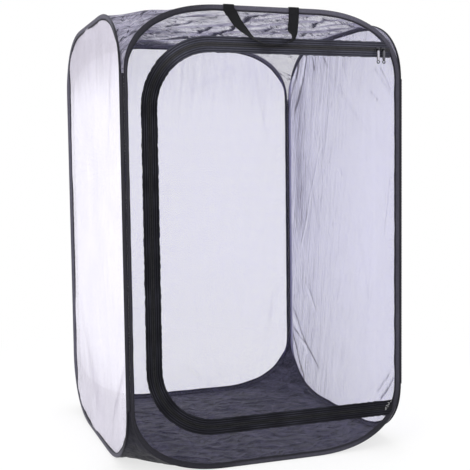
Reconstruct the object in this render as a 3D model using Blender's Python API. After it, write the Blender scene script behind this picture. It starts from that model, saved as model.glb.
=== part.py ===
"""Fold-flat insect cage: four hooped mesh side panels, a gathered roof, a fabric floor,
a zipped front door and a webbing handle. Metres, +Z up, front towards -Y, and the origin
is under the middle of the whole footprint, on the surface that the cage stands on."""
import math

import bmesh
import bpy
import numpy as np

# Overall size of the cage without its handle
WIDTH = 0.600
DEPTH = 0.608
HEIGHT = 0.915

# Rounded corner of every hoop: how far it reaches along the level and the upright sides,
# and how square it is
CORNER_ACROSS = 0.200
CORNER_UP = 0.139
CORNER_POWER = 2.3
CORNER_STEPS = 10

# Clearance between pieces that touch
FIT = 0.0003

# Spring wire hoop and the crimped sleeve that joins its ends
WIRE_RADIUS = 0.00075
WIRE_SIDES = 6
WIRE_END_GAP = 0.001
SLEEVE_FIT = 0.00015
SLEEVE_WALL = 0.00035
SLEEVE_LENGTH = 0.022
SLEEVE_SIDES = 8
SLEEVE_PLACE_SHARE = 0.6

# Folded binding tape: two plies round the wire, open inwards for the mesh
PLY = 0.0006
BAND_WIDTH = 0.012
POCKET_WIDTH = 0.005
MOUTH_GAP = 0.0011
SHEET_BITE = 0.005

# Sheets
SHEET_THICK = 0.0004
ROOF_THICK = 0.0005
FLOOR_THICK = 0.0006
ROOF_EDGE_INSET = 0.003
SAG_TO_TABLE = 0.0001

# Sewn corner seams, which are the hinge lines of the four side panels
SEAM_RADIUS = 0.002
SEAM_SIDES = 8

# Zipper: the middle of its chain runs this far inside the hoop's outer edge
ZIP_TOP_INSET = 0.076
ZIP_BOTTOM_INSET = 0.086
ZIP_SIDE_INSET = 0.049
ZIP_CORNER_RADIUS = 0.125
ZIP_CORNER_STEPS = 8
ZIP_RUN_STEPS = 6
CHANNEL_HALF = 0.0007
TEETH_WIDTH = 0.0026
TEETH_THICK = 0.002
TAPE_REACH = 0.016
TAPE_THICK = 0.0006

# Zipper sliders, side by side at the closed end of the chain
SLIDER_LENGTH = 0.010
SLIDER_WIDTH = 0.0092
SLIDER_PLATE = 0.0009
SLIDER_GAP = 0.003
SLIDER_MARGIN = 0.002
POST_LENGTH = 0.002
POST_HALF = 0.00035
STAPLE_ROD = 0.0008
STAPLE_LENGTH = 0.0076

# Pull tabs that hang from the sliders
PULL_LENGTH = 0.029
PULL_WIDTH = 0.0048
PULL_THICK = 0.0012
PULL_RING_RADIUS = 0.0036
PULL_RING_BORE = 0.0019
EYE_RADIUS = 0.002
EYE_BORE = 0.0011
EYE_LENGTH = 0.003
EYE_SIDES = 10
RING_STEPS = 12

# Stitched bar at the lower end of the zipper
BARTACK_SIZE = (0.004, 0.0008, 0.014)
BARTACK_INSET = 0.004

# Webbing handle on the front top edge
STRAP_WIDTH = 0.022
STRAP_THICK = 0.0013
HANDLE_CENTRE = -0.0145
HANDLE_SPAN = 0.137
HANDLE_DROP = 0.0645
HANDLE_BULGE = 0.0085
HANDLE_STATIONS = 26
TAB_COVER = 0.0135
HANDLE_PATH_SHARES = (
    (0.0, 0.0), (0.05, 0.25), (0.15, 0.58), (0.33, 0.9), (0.55, 1.0),
    (0.78, 0.98), (0.95, 0.82), (1.0, 0.55), (1.0, 0.25), (1.0, 0.0),
)
STRAIGHT_LEG_SHARE = 0.24
TWIST_END_SHARE = 0.8

# Wrinkles of the gathered roof, the floor and the side panels: height and spacing
ROOF_WRINKLE = 0.005
ROOF_WRINKLE_SPACING = 0.075
ROOF_SAG = 0.006
FLOOR_WRINKLE = 0.0022
FLOOR_WRINKLE_SPACING = 0.11
PANEL_WRINKLE = 0.0016
PANEL_WRINKLE_SPACING = 0.12
EAR_COLUMNS = 5
RUN_COLUMNS = 6
SHEET_RING_SHARES = (1.0, 0.93, 0.78, 0.58, 0.36, 0.16)
ROOF_RING_SHARES = (1.0, 0.86, 0.68, 0.46, 0.24)

# Sizes worked out from the ones above
SLEEVE_BORE = WIRE_RADIUS + SLEEVE_FIT
SLEEVE_OUTER = SLEEVE_BORE + SLEEVE_WALL
POCKET_HALF = SLEEVE_OUTER + SLEEVE_FIT
BAND_THICK = 2 * (POCKET_HALF + PLY)
MID_OUT = BAND_THICK / 2
HALF_X = WIDTH / 2 - BAND_THICK
HALF_Y = DEPTH / 2 - BAND_THICK
EDGE_GAP = SEAM_RADIUS + FIT
SHEET_INSET = BAND_WIDTH - SHEET_BITE
SLIDER_INNER = TEETH_THICK / 2 + FIT
SLIDER_FACE = SLIDER_INNER + SLIDER_PLATE
STAPLE_OUT = SLIDER_FACE + FIT + EYE_RADIUS
TAB_FACE = BAND_THICK + FIT + STRAP_THICK
HANDLE_PIVOT_OUT = TAB_FACE + FIT + STRAP_THICK / 2
HANDLE_PIVOT_Z = HEIGHT - BAND_WIDTH + STRAP_THICK
HANDLE_PROUD = HANDLE_PIVOT_OUT + HANDLE_BULGE + STRAP_WIDTH / 2 - BAND_THICK
CAGE_Y = HANDLE_PROUD / 2
ZIP_TOP = HEIGHT - ZIP_TOP_INSET
ZIP_BOTTOM = ZIP_BOTTOM_INSET
ZIP_LEFT = -(HALF_X - EDGE_GAP) + ZIP_SIDE_INSET

# Colours: base colour, roughness, metallic
FINISHES = {
    "side_mesh": ((0.80, 0.79, 0.90), 0.9, 0.0),
    "roof_mesh": ((0.45, 0.44, 0.52), 0.9, 0.0),
    "floor_cloth": ((0.07, 0.065, 0.09), 0.75, 0.0),
    "binding": ((0.035, 0.033, 0.045), 0.8, 0.0),
    "zip_tape": ((0.012, 0.011, 0.014), 0.85, 0.0),
    "zip_teeth": ((0.02, 0.02, 0.022), 0.45, 0.0),
    "webbing": ((0.008, 0.008, 0.01), 0.85, 0.0),
    "thread": ((0.85, 0.85, 0.85), 0.7, 0.0),
    "spring_steel": ((0.45, 0.45, 0.47), 0.35, 1.0),
    "zinc_pull": ((0.72, 0.72, 0.75), 0.3, 1.0),
}


def clear_scene():
    """Remove whatever the file holds."""
    for old in list(bpy.data.objects):
        bpy.data.objects.remove(old, do_unlink=True)


def finish(name):
    """One Principled material per object, in the finish's colour."""
    colour, roughness, metallic = FINISHES[name]
    material = bpy.data.materials.new(name)
    material.use_nodes = True
    shader = material.node_tree.nodes["Principled BSDF"]
    shader.inputs["Base Color"].default_value = (*colour, 1.0)
    shader.inputs["Roughness"].default_value = roughness
    shader.inputs["Metallic"].default_value = metallic
    return material


def empty(name, place, parent=None):
    """An empty on a joint's axis, given in world coordinates."""
    pivot = bpy.data.objects.new(name, None)
    bpy.context.scene.collection.objects.link(pivot)
    pivot["place"] = place
    pivot.parent = parent
    base = parent["place"] if parent else (0.0, 0.0, 0.0)
    pivot.location = [a - b for a, b in zip(place, base)]
    return pivot


def add(name, points, faces, look, parent, place=(0.0, 0.0, 0.0), turn=0.0):
    """A mesh object placed in the world and held by its body's empty."""
    mesh = bpy.data.meshes.new(name)
    mesh.from_pydata([tuple(map(float, p)) for p in points], [], [tuple(f) for f in faces])
    work = bmesh.new()
    work.from_mesh(mesh)
    bmesh.ops.recalc_face_normals(work, faces=work.faces)
    work.to_mesh(mesh)
    work.free()
    mesh.materials.append(finish(look))
    item = bpy.data.objects.new(name, mesh)
    bpy.context.scene.collection.objects.link(item)
    item.parent = parent
    item.location = [a - b for a, b in zip(place, parent["place"])]
    item.rotation_euler = (0.0, 0.0, turn)
    return item


def shade_round(item):
    """Smooth shading with the hard edges kept."""
    item.data.shade_smooth()
    item.data.set_sharp_from_angle(angle=math.radians(35))
    return item


def thicken(item, thick):
    """Give a sheet its thickness, half on each side."""
    wall = item.modifiers.new("Sheet thickness", "SOLIDIFY")
    wall.thickness = thick
    wall.offset = 0.0
    wall.use_rim = True
    return shade_round(item)


def corner_arc(inset):
    """Quarter of a hoop corner from its upright side to its level side: the distance in from
    the side and the height, on a superellipse moved inwards along its normal by the inset."""
    turn = np.linspace(0.0, math.pi / 2, CORNER_STEPS + 1)
    across = np.cos(turn) ** (2 / CORNER_POWER)
    up = np.sin(turn) ** (2 / CORNER_POWER)
    across[-1] = 0.0
    slope_in = across ** (CORNER_POWER - 1) / CORNER_ACROSS
    slope_up = up ** (CORNER_POWER - 1) / CORNER_UP
    normal = np.stack([slope_in, slope_up], axis=1)
    normal /= np.linalg.norm(normal, axis=1)[:, None]
    outline = np.stack([CORNER_ACROSS * (1 - across), CORNER_UP * (1 - up)], axis=1)
    return outline + inset * normal


def hoop_loop(half, inset):
    """Closed outline of a hoop in its own plane, seen from outside, as x and z."""
    arc = corner_arc(inset)
    back = arc[::-1]
    lower_left = arc * (1, 1) + (-half, 0)
    lower_right = back * (-1, 1) + (half, 0)
    upper_right = arc * (-1, -1) + (half, HEIGHT)
    upper_left = back * (1, -1) + (-half, HEIGHT)
    return np.vstack([lower_left, lower_right, upper_right, upper_left])


def hoop_x(half, inset, z):
    """Right-hand x of the hoop's inset outline at a height."""
    arc = corner_arc(inset)
    low = min(z, HEIGHT - z)
    heights = arc[::-1, 1]
    return half - float(np.interp(low, heights, arc[::-1, 0]))


def ring_faces(rings, count, closed_rings, closed_path):
    """Quads between rings of points, one ring per station."""
    faces = []
    stations = rings if closed_path else rings - 1
    around = count if closed_rings else count - 1
    for i in range(stations):
        for j in range(around):
            a = i * count
            b = (i + 1) % rings * count
            k = (j + 1) % count
            faces.append((a + j, a + k, b + k, b + j))
    return faces


def band_section():
    """Binding outline as pairs of inset and outward distance: two plies that pinch the mesh
    and swell round the wire's pocket."""
    shoulder = PLY + POCKET_WIDTH
    inner_low = MID_OUT - MOUTH_GAP / 2
    inner_high = MID_OUT + MOUTH_GAP / 2
    return (
        (0.0, 0.0), (shoulder, 0.0), (BAND_WIDTH, inner_low - PLY),
        (BAND_WIDTH, inner_low), (shoulder + PLY, inner_low), (shoulder, PLY),
        (PLY, PLY), (PLY, BAND_THICK - PLY), (shoulder, BAND_THICK - PLY),
        (shoulder + PLY, inner_high), (BAND_WIDTH, inner_high),
        (BAND_WIDTH, inner_high + PLY), (shoulder, BAND_THICK), (0.0, BAND_THICK),
    )


def add_binding(side):
    """The folded tape, carried once round the hoop."""
    section = band_section()
    loops = [(hoop_loop(side.outer, inset), out) for inset, out in section]
    points = []
    for i in range(len(loops[0][0])):
        points += [(loop[i, 0], -out, loop[i, 1]) for loop, out in loops]
    faces = ring_faces(len(loops[0][0]), len(section), True, True)
    shade_round(side.add(side.name + "_binding", points, faces, "binding"))


def add_wire(side):
    """The spring wire: an almost closed hoop whose ends meet inside the sleeve."""
    inset = PLY + POCKET_HALF
    loop = hoop_loop(side.outer, inset)
    middle = (side.outer - CORNER_ACROSS) * SLEEVE_PLACE_SHARE
    start = (middle + WIRE_END_GAP / 2, inset)
    end = (middle - WIRE_END_GAP / 2, inset)
    first = CORNER_STEPS + 1
    route = np.vstack([[start], loop[first:], loop[:first], [end]])
    ahead = np.gradient(route, axis=0)
    ahead /= np.linalg.norm(ahead, axis=1)[:, None]
    inward = np.stack([-ahead[:, 1], ahead[:, 0]], axis=1)
    points = []
    for spot, normal in zip(route, inward):
        for k in range(WIRE_SIDES):
            turn = 2 * math.pi * k / WIRE_SIDES
            across = WIRE_RADIUS * math.cos(turn)
            x, z = spot + normal * across
            points.append((x, -MID_OUT + WIRE_RADIUS * math.sin(turn), z))
    faces = ring_faces(len(route), WIRE_SIDES, True, False)
    last = len(points) - WIRE_SIDES
    faces.append(tuple(range(WIRE_SIDES)))
    faces.append(tuple(last + k for k in range(WIRE_SIDES)))
    shade_round(side.add(side.name + "_hoop_wire", points, faces, "spring_steel"))
    add_sleeve(side, middle, inset)


def add_sleeve(side, middle, height):
    """Crimped steel sleeve over the two wire ends, on the hoop's bottom run."""
    points = []
    rim = ((SLEEVE_BORE, -1), (SLEEVE_OUTER, -1), (SLEEVE_OUTER, 1), (SLEEVE_BORE, 1))
    for k in range(SLEEVE_SIDES):
        turn = 2 * math.pi * k / SLEEVE_SIDES
        for radius, end in rim:
            along = middle + end * SLEEVE_LENGTH / 2
            y = -MID_OUT + radius * math.sin(turn)
            points.append((along, y, height + radius * math.cos(turn)))
    faces = ring_faces(SLEEVE_SIDES, len(rim), True, True)
    shade_round(side.add(side.name + "_wire_sleeve", points, faces, "spring_steel"))


def disc_of_rings(edge, shares, height_of):
    """Sheet from rings that shrink towards the middle of an outline, closed by a fan."""
    centre = np.mean([edge.min(axis=0), edge.max(axis=0)], axis=0)
    points = []
    for share in shares:
        for spot in centre + (edge - centre) * share:
            points.append(height_of(spot, share))
    faces = ring_faces(len(shares), len(edge), True, False)
    points.append(height_of(centre, 0.0))
    last = (len(shares) - 1) * len(edge)
    for j in range(len(edge)):
        faces.append((last + j, last + (j + 1) % len(edge), len(points) - 1))
    return points, faces


def panel_folds(spot, share):
    """Shallow slanting folds of a hung panel, flat along its sewn edge."""
    calm = (1 - share) * (1 + share)
    wave = math.sin(2 * math.pi * (spot[0] + spot[1] / 3) / PANEL_WRINKLE_SPACING)
    ripple = math.sin(2 * math.pi * spot[0] / PANEL_WRINKLE_SPACING + spot[1] / CORNER_UP)
    return PANEL_WRINKLE * calm * (wave + ripple) / 2


def add_side_mesh(side):
    """One sheet of netting held all round in the binding's mouth."""
    edge = hoop_loop(side.outer, SHEET_INSET)

    def place(spot, share):
        return spot[0], -MID_OUT + panel_folds(spot, share), spot[1]

    points, faces = disc_of_rings(edge, SHEET_RING_SHARES, place)
    thicken(side.add(side.name + "_mesh", points, faces, "side_mesh"), SHEET_THICK)


class Side:
    """A side panel: its frame has x along the panel, y inwards and z up."""

    def __init__(self, name, half, place, turn, parent):
        self.name = name
        self.outer = half - EDGE_GAP
        self.place = place
        self.turn = turn
        self.parent = parent

    def add(self, name, points, faces, look, parent=None):
        """Add a piece whose points are in the panel's frame."""
        holder = parent or self.parent
        return add(name, points, faces, look, holder, self.place, self.turn)


def add_seam(name, x, y, parent):
    """Round sewn seam on the hinge line between two panels."""
    low = CORNER_UP
    high = HEIGHT - CORNER_UP
    points = []
    for z in (low, high):
        for k in range(SEAM_SIDES):
            turn = 2 * math.pi * (k + 0.5) / SEAM_SIDES
            points.append((SEAM_RADIUS * math.cos(turn), SEAM_RADIUS * math.sin(turn), z))
    faces = ring_faces(2, SEAM_SIDES, True, False)
    faces.append(tuple(range(SEAM_SIDES)))
    faces.append(tuple(SEAM_SIDES + k for k in range(SEAM_SIDES)))
    shade_round(add(name, points, faces, "binding", parent, (x, CAGE_Y + y, 0.0)))


def roof_fold(x, y, spacing):
    """Crossing waves of a gathered sheet, between minus one and one."""
    main = math.sin(2 * math.pi * (y + x / 5) / spacing)
    cross = math.sin(2 * math.pi * (x / 2 - y / 3) / spacing)
    return (2 * main + cross) / 3


def ear_rows(thick):
    """Corner of the roof: level rows from the seam's end up to the flat middle, each
    running from the front hoop's arc to the side hoop's arc, as distances from the corner."""
    arc = corner_arc(ROOF_EDGE_INSET)
    gap = FIT + thick / 2
    rows = []
    for across, drop in arc:
        front = np.array([EDGE_GAP + across, gap, drop])
        flank = np.array([gap, EDGE_GAP + across, drop])
        shares = np.linspace(0.0, 1.0, EAR_COLUMNS + 1)[:, None]
        rows.append(front * (1 - shares) + flank * shares)
    return rows


def gathered_sheet(thick, wave, spacing, sag):
    """Roof or floor: a flat octagon with a ruled ear down to each corner seam, as depths
    below the hoops' tops. Rings run inwards from the octagon's edge."""
    rows = ear_rows(thick)
    points = []
    index = {}

    def point(x, y, drop, calm):
        key = (round(x / FIT, 1), round(y / FIT, 1), round(drop / FIT, 1))
        if key not in index:
            index[key] = len(points)
            push = calm * (wave * roof_fold(x, y, spacing) + sag)
            points.append((x, y, drop + push))
        return index[key]

    faces = []
    octagon = []
    for sx, sy in ((-1, -1), (1, -1), (1, 1), (-1, 1)):
        grid = []
        for i, row in enumerate(rows):
            line = []
            for j, (dx, dy, drop) in enumerate(row):
                free = math.sin(math.pi * j / EAR_COLUMNS) * i / CORNER_STEPS
                line.append(point(sx * (HALF_X - dx), sy * (HALF_Y - dy), drop, free * free))
            grid.append(line)
        for low, high in zip(grid, grid[1:]):
            for j in range(EAR_COLUMNS):
                faces.append((low[j], low[j + 1], high[j + 1], high[j]))
        top = grid[-1]
        octagon.append(top[::-1] if sx * sy > 0 else top)
    edge = octagon_edge(octagon, points, point)
    rings = [edge]
    flat = points[edge[0]][2]
    for share in ROOF_RING_SHARES[1:]:
        calm = (1 - share) * (1 + share)
        rings.append([point(points[k][0] * share, points[k][1] * share, flat, calm) for k in edge])
    for outer, inner in zip(rings, rings[1:]):
        for j in range(len(outer)):
            k = (j + 1) % len(outer)
            faces.append((outer[j], outer[k], inner[k], inner[j]))
    middle = point(0.0, 0.0, flat, 1.0)
    last = rings[-1]
    for j in range(len(last)):
        faces.append((last[j], last[(j + 1) % len(last)], middle))
    return points, faces


def octagon_edge(corners, points, point):
    """Join the four diagonal rows by straight runs along the hoops."""
    edge = []
    for number, corner in enumerate(corners):
        edge += corner
        after = corners[(number + 1) % 4][0]
        x0, y0, drop = points[corner[-1]]
        x1, y1 = points[after][:2]
        for step in range(1, RUN_COLUMNS):
            share = step / RUN_COLUMNS
            edge.append(point(x0 + (x1 - x0) * share, y0 + (y1 - y0) * share, drop, 0.0))
    return edge


def add_roof(parent):
    """Gathered mesh roof, sewn to the four top runs and corner arcs."""
    points, faces = gathered_sheet(ROOF_THICK, ROOF_WRINKLE, ROOF_WRINKLE_SPACING, ROOF_SAG)
    points = [(x, y, HEIGHT - drop) for x, y, drop in points]
    thicken(add("roof_mesh", points, faces, "roof_mesh", parent, (0, CAGE_Y, 0)), ROOF_THICK)


def add_floor(parent):
    """Cloth floor: the roof's shape upside down, lying on the table in the middle."""
    resting = FLOOR_THICK / 2 + SAG_TO_TABLE
    drop = resting - ROOF_EDGE_INSET
    points, faces = gathered_sheet(FLOOR_THICK, 0.0, FLOOR_WRINKLE_SPACING, drop)
    lifted = []
    for x, y, z in points:
        flatness = max(0.0, (ROOF_EDGE_INSET - z) / (ROOF_EDGE_INSET - resting))
        wave = FLOOR_WRINKLE * flatness * (1 + roof_fold(x, y, FLOOR_WRINKLE_SPACING)) / 2
        lifted.append((x, y, z + min(1.0, flatness) * wave))
    thicken(add("floor_panel", lifted, faces, "floor_cloth", parent, (0, CAGE_Y, 0)), FLOOR_THICK)


def zip_route(offset, ends):
    """The zipper's path moved out by an offset: a C open to the right, as x and z. The ends
    are the function or the value that gives x at the right-hand end for a height."""
    radius = ZIP_CORNER_RADIUS + offset
    centre = ZIP_LEFT + ZIP_CORNER_RADIUS
    high = ZIP_TOP + offset
    low = ZIP_BOTTOM - offset
    right_high = ends(high) if callable(ends) else ends
    right_low = ends(low) if callable(ends) else ends
    shares = np.linspace(0.0, 1.0, ZIP_RUN_STEPS + 1)[:-1]
    route = [(right_high + (centre - right_high) * s, high) for s in shares]
    for k in range(ZIP_CORNER_STEPS + 1):
        turn = math.pi / 2 * (1 + k / ZIP_CORNER_STEPS)
        top = ZIP_TOP - ZIP_CORNER_RADIUS
        route.append((centre + radius * math.cos(turn), top + radius * math.sin(turn)))
    for k in range(ZIP_CORNER_STEPS + 1):
        turn = math.pi * (1 + k / ZIP_CORNER_STEPS / 2)
        bottom = ZIP_BOTTOM + ZIP_CORNER_RADIUS
        route.append((centre + radius * math.cos(turn), bottom + radius * math.sin(turn)))
    route += [(right_low + (centre - right_low) * s, low) for s in shares[::-1]]
    return np.array(route)


def bar_on_route(inner, outer, thick, ends):
    """A bar between two offsets of the zipper's path, with square ends."""
    near = zip_route(inner, ends)
    far = zip_route(outer, ends)
    points = []
    for (x0, z0), (x1, z1) in zip(near, far):
        low = -MID_OUT + thick / 2
        high = -MID_OUT - thick / 2
        points += [(x0, low, z0), (x1, low, z1), (x1, high, z1), (x0, high, z0)]
    faces = ring_faces(len(near), 4, True, False)
    last = len(points) - 4
    faces += [(0, 1, 2, 3), (last, last + 1, last + 2, last + 3)]
    return points, faces


def block(low, high):
    """Box between two corners."""
    points = [(x, y, z) for x in (low[0], high[0]) for y in (low[1], high[1]) for z in (low[2], high[2])]
    faces = [(0, 1, 3, 2), (4, 6, 7, 5), (0, 4, 5, 1), (2, 3, 7, 6), (0, 2, 6, 4), (1, 5, 7, 3)]
    return points, faces


def flat_sheet(side, name, outline, look, parent=None):
    """Flat netting cut to an outline in the panel's plane."""
    points = [(x, -MID_OUT, z) for x, z in outline]
    thicken(side.add(name, points, [range(len(points))], look, parent), SHEET_THICK)


def add_zipper(front, door):
    """Tapes and teeth of the door's zipper, split where the door folds."""
    fold = fold_line(front)
    teeth_in = CHANNEL_HALF
    teeth_out = CHANNEL_HALF + TEETH_WIDTH
    tape_in = teeth_out + FIT

    def in_mouth(z):
        return hoop_x(front.outer, SHEET_INSET, z)

    def at_band(z):
        return hoop_x(front.outer, BAND_WIDTH, z) - FIT

    tape = bar_on_route(tape_in, TAPE_REACH, TAPE_THICK, in_mouth)
    front.add("zipper_outer_tape", *tape, "zip_tape")
    teeth = bar_on_route(teeth_in, teeth_out, TEETH_THICK, at_band)
    front.add("zipper_outer_teeth", *teeth, "zip_teeth")
    door_end = fold - FIT / 2
    tape = bar_on_route(-tape_in, -TAPE_REACH, TAPE_THICK, door_end)
    front.add("door_tape", *tape, "zip_tape", door)
    teeth = bar_on_route(-teeth_in, -teeth_out, TEETH_THICK, door_end)
    front.add("door_teeth", *teeth, "zip_teeth", door)
    add_fixed_ends(front, "tape", tape_in, TAPE_REACH, TAPE_THICK, in_mouth, "zip_tape")
    add_fixed_ends(front, "teeth", teeth_in, teeth_out, TEETH_THICK, at_band, "zip_teeth")


def add_fixed_ends(front, name, near, far, thick, ends, look):
    """Ends of the door's tape or teeth that stay with the panel, right of the fold."""
    left = fold_line(front) + FIT / 2
    for word, level, sign in (("upper", ZIP_TOP, -1), ("lower", ZIP_BOTTOM, 1)):
        points = []
        for y in (-MID_OUT + thick / 2, -MID_OUT - thick / 2):
            for z in (level + sign * near, level + sign * far):
                points += [(left, y, z), (ends(z), y, z)]
        faces = [(0, 1, 3, 2), (4, 5, 7, 6), (0, 1, 5, 4), (2, 3, 7, 6), (0, 2, 6, 4), (1, 3, 7, 5)]
        front.add(f"zipper_{word}_end_{name}", points, faces, look)


def fold_line(front):
    """x of the door's hinge, left of the two parked sliders, whose upper edges meet the
    binding first."""
    stop = hoop_x(front.outer, BAND_WIDTH, ZIP_TOP + SLIDER_WIDTH / 2) - SLIDER_MARGIN
    return stop - 2 * SLIDER_LENGTH - SLIDER_GAP - SLIDER_MARGIN


def slider_places(front):
    """Middles of the two parked sliders along the top run."""
    first = fold_line(front) + SLIDER_MARGIN + SLIDER_LENGTH / 2
    return first, first + SLIDER_LENGTH + SLIDER_GAP


def add_front_sheets(front, door):
    """Netting outside the zipper, beside the hinge line and on the door."""
    fold = fold_line(front)
    reach = TAPE_REACH + FIT

    def in_mouth(z):
        return hoop_x(front.outer, SHEET_INSET, z)

    inner = zip_route(reach, in_mouth)
    loop = hoop_loop(front.outer, SHEET_INSET)
    order = np.vstack([loop[len(loop) // 2:], loop[:len(loop) // 2]])
    high = inner[0, 1]
    low = inner[-1, 1]
    keep = (order[:, 0] < 0) | (order[:, 1] > high) | (order[:, 1] < low)
    outline = np.vstack([order[keep], inner[::-1]])
    flat_sheet(front, "front_surround_mesh", outline, "side_mesh")
    add_hinge_strip(front, fold, reach, loop, in_mouth)
    edge = zip_route(-reach, fold - FIT / 2)
    flat_sheet(front, "door_mesh", edge, "side_mesh", door)


def add_hinge_strip(front, fold, reach, loop, in_mouth):
    """Netting between the door's hinge line and the right-hand binding."""
    low = ZIP_BOTTOM + reach
    high = ZIP_TOP - reach
    side = [p for p in loop if p[0] > 0 and low < p[1] < high]
    left = fold + FIT / 2
    outline = [(left, low), (in_mouth(low), low), *side, (in_mouth(high), high), (left, high)]
    flat_sheet(front, "front_hinge_strip", outline, "side_mesh")


def add_slider(front, name, x, parent):
    """Zipper slider: two plates, a post in the chain's channel and a staple for the pull."""
    half = SLIDER_LENGTH / 2
    wide = SLIDER_WIDTH / 2
    rod = STAPLE_ROD / 2
    reach = STAPLE_LENGTH / 2
    mid = -MID_OUT
    lap = STAPLE_ROD / 4
    parts = [
        block((-half, mid + SLIDER_INNER, -wide), (half, mid + SLIDER_FACE, wide)),
        block((-half, mid - SLIDER_FACE, -wide), (half, mid - SLIDER_INNER, wide)),
        block((-half, mid - SLIDER_INNER - lap, -POST_HALF),
              (POST_LENGTH - half, mid + SLIDER_INNER + lap, POST_HALF)),
        block((-reach, mid - STAPLE_OUT - rod, -rod), (reach, mid - STAPLE_OUT + rod, rod)),
    ]
    for end in (-1, 1):
        low = min(end * reach, end * (reach - STAPLE_ROD))
        parts.append(block((low, mid - STAPLE_OUT - rod, -rod),
                           (low + STAPLE_ROD, mid - SLIDER_FACE + lap, rod)))
    shapes = []
    for number, (points, faces) in enumerate(parts):
        moved = [(x + px, py, ZIP_TOP + pz) for px, py, pz in points]
        shapes.append(front.add(f"{name}_piece_{number}", moved, faces, "zinc_pull", parent))
    fuse(shapes, name)


def fuse(shapes, name):
    """Union of overlapping solids into the first, which takes the name."""
    body = shapes[0]
    body.name = name
    body.data.name = name
    for other in shapes[1:]:
        union = body.modifiers.new("Union", "BOOLEAN")
        union.operation = "UNION"
        union.solver = "EXACT"
        union.object = other
    depsgraph = bpy.context.evaluated_depsgraph_get()
    result = bpy.data.meshes.new_from_object(body.evaluated_get(depsgraph))
    body.modifiers.clear()
    body.data = result
    for other in shapes[1:]:
        bpy.data.objects.remove(other, do_unlink=True)


def add_pull(front, name, x, parent):
    """Pull tab: a rolled eye round the staple, a flat stem and a ring at its end."""
    mid = -MID_OUT - STAPLE_OUT
    eye = []
    rim = ((EYE_BORE, -1), (EYE_RADIUS, -1), (EYE_RADIUS, 1), (EYE_BORE, 1))
    for k in range(EYE_SIDES):
        turn = 2 * math.pi * k / EYE_SIDES
        for radius, end in rim:
            z = ZIP_TOP + radius * math.cos(turn)
            eye.append((x + end * EYE_LENGTH / 2, mid + radius * math.sin(turn), z))
    shapes = [front.add(name, eye, ring_faces(EYE_SIDES, 4, True, True), "zinc_pull", parent)]
    ring_z = ZIP_TOP - PULL_LENGTH + PULL_RING_RADIUS
    top = ZIP_TOP - (EYE_RADIUS + EYE_BORE) / 2
    bottom = ring_z + (PULL_RING_RADIUS + PULL_RING_BORE) / 2
    stem = block((x - PULL_WIDTH / 2, mid - PULL_THICK / 2, bottom),
                 (x + PULL_WIDTH / 2, mid + PULL_THICK / 2, top))
    shapes.append(front.add(name + "_stem", *stem, "zinc_pull", parent))
    ring = []
    rim = ((PULL_RING_BORE, -1), (PULL_RING_RADIUS, -1), (PULL_RING_RADIUS, 1), (PULL_RING_BORE, 1))
    for k in range(RING_STEPS):
        turn = 2 * math.pi * k / RING_STEPS
        for radius, end in rim:
            y = mid + end * PULL_THICK / 2
            ring.append((x + radius * math.sin(turn), y, ring_z + radius * math.cos(turn)))
    faces = ring_faces(RING_STEPS, 4, True, True)
    shapes.append(front.add(name + "_ring", ring, faces, "zinc_pull", parent))
    fuse(shapes, name)


def add_bartack(front):
    """Short bar of thread that stops the lower end of the zipper."""
    sx, sy, sz = BARTACK_SIZE
    x = hoop_x(front.outer, BAND_WIDTH, ZIP_BOTTOM) - BARTACK_INSET - sx
    face = -MID_OUT - TEETH_THICK / 2 - FIT
    bar = block((x, face - sy, ZIP_BOTTOM - sz / 2), (x + sx, face, ZIP_BOTTOM + sz / 2))
    front.add("zipper_end_bartack", *bar, "thread")


def handle_station(share):
    """Place and twist of the strap's middle line at a share of its length: a loop through
    hand-set shares of its span and drop, smoothed by a cubic through each four of them."""
    spots = HANDLE_PATH_SHARES
    spot = share * (len(spots) - 1)
    k = min(int(spot), len(spots) - 2)
    t = spot - k
    window = [spots[min(max(k + step, 0), len(spots) - 1)] for step in (-1, 0, 1, 2)]
    place = []
    for a, b, c, d in zip(*window):
        cubic = (2 * b + (c - a) * t + (2 * a - 5 * b + 4 * c - d) * t ** 2
                 + (3 * b - a - 3 * c + d) * t ** 3)
        place.append(cubic / 2)
    return place


def ease(value, start, end):
    """Smooth step from nought to one between two values."""
    t = min(max((value - start) / (end - start), 0.0), 1.0)
    return t * t * (3 - 2 * t)


def add_handle(front, pivot):
    """Webbing loop: flat legs that twist edge-on along the bottom and stand out in front."""
    left = HANDLE_CENTRE - HANDLE_SPAN / 2
    rows = []
    for number in range(HANDLE_STATIONS + 1):
        across, drop = handle_station(number / HANDLE_STATIONS)
        angle = math.pi / 2 * ease(drop, STRAIGHT_LEG_SHARE, TWIST_END_SHARE)
        centre = np.array([
            left + HANDLE_SPAN * across,
            -HANDLE_PIVOT_OUT - HANDLE_BULGE * math.sin(angle),
            HANDLE_PIVOT_Z - HANDLE_DROP * drop,
        ])
        rows.append((centre, angle))
    route = np.array([row[0] for row in rows])
    ahead = np.gradient(route, axis=0)
    ahead[0] = ahead[-1] = (0.0, 0.0, 1.0)
    ahead[0] = -ahead[0]
    points = []
    for (centre, angle), along in zip(rows, ahead):
        along = along / np.linalg.norm(along)
        flat = np.cross((0.0, -1.0, 0.0), along)
        flat /= np.linalg.norm(flat)
        out = np.cross(flat, along)
        wide = flat * math.cos(angle) + out * math.sin(angle)
        thin = np.cross(wide, along)
        for a, b in ((-1, -1), (1, -1), (1, 1), (-1, 1)):
            points.append(centre + wide * a * STRAP_WIDTH / 2 + thin * b * STRAP_THICK / 2)
    faces = ring_faces(len(rows), 4, True, False)
    last = len(points) - 4
    faces += [(0, 1, 2, 3), (last, last + 1, last + 2, last + 3)]
    shade_round(front.add("carry_handle", points, faces, "webbing", pivot))


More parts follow.
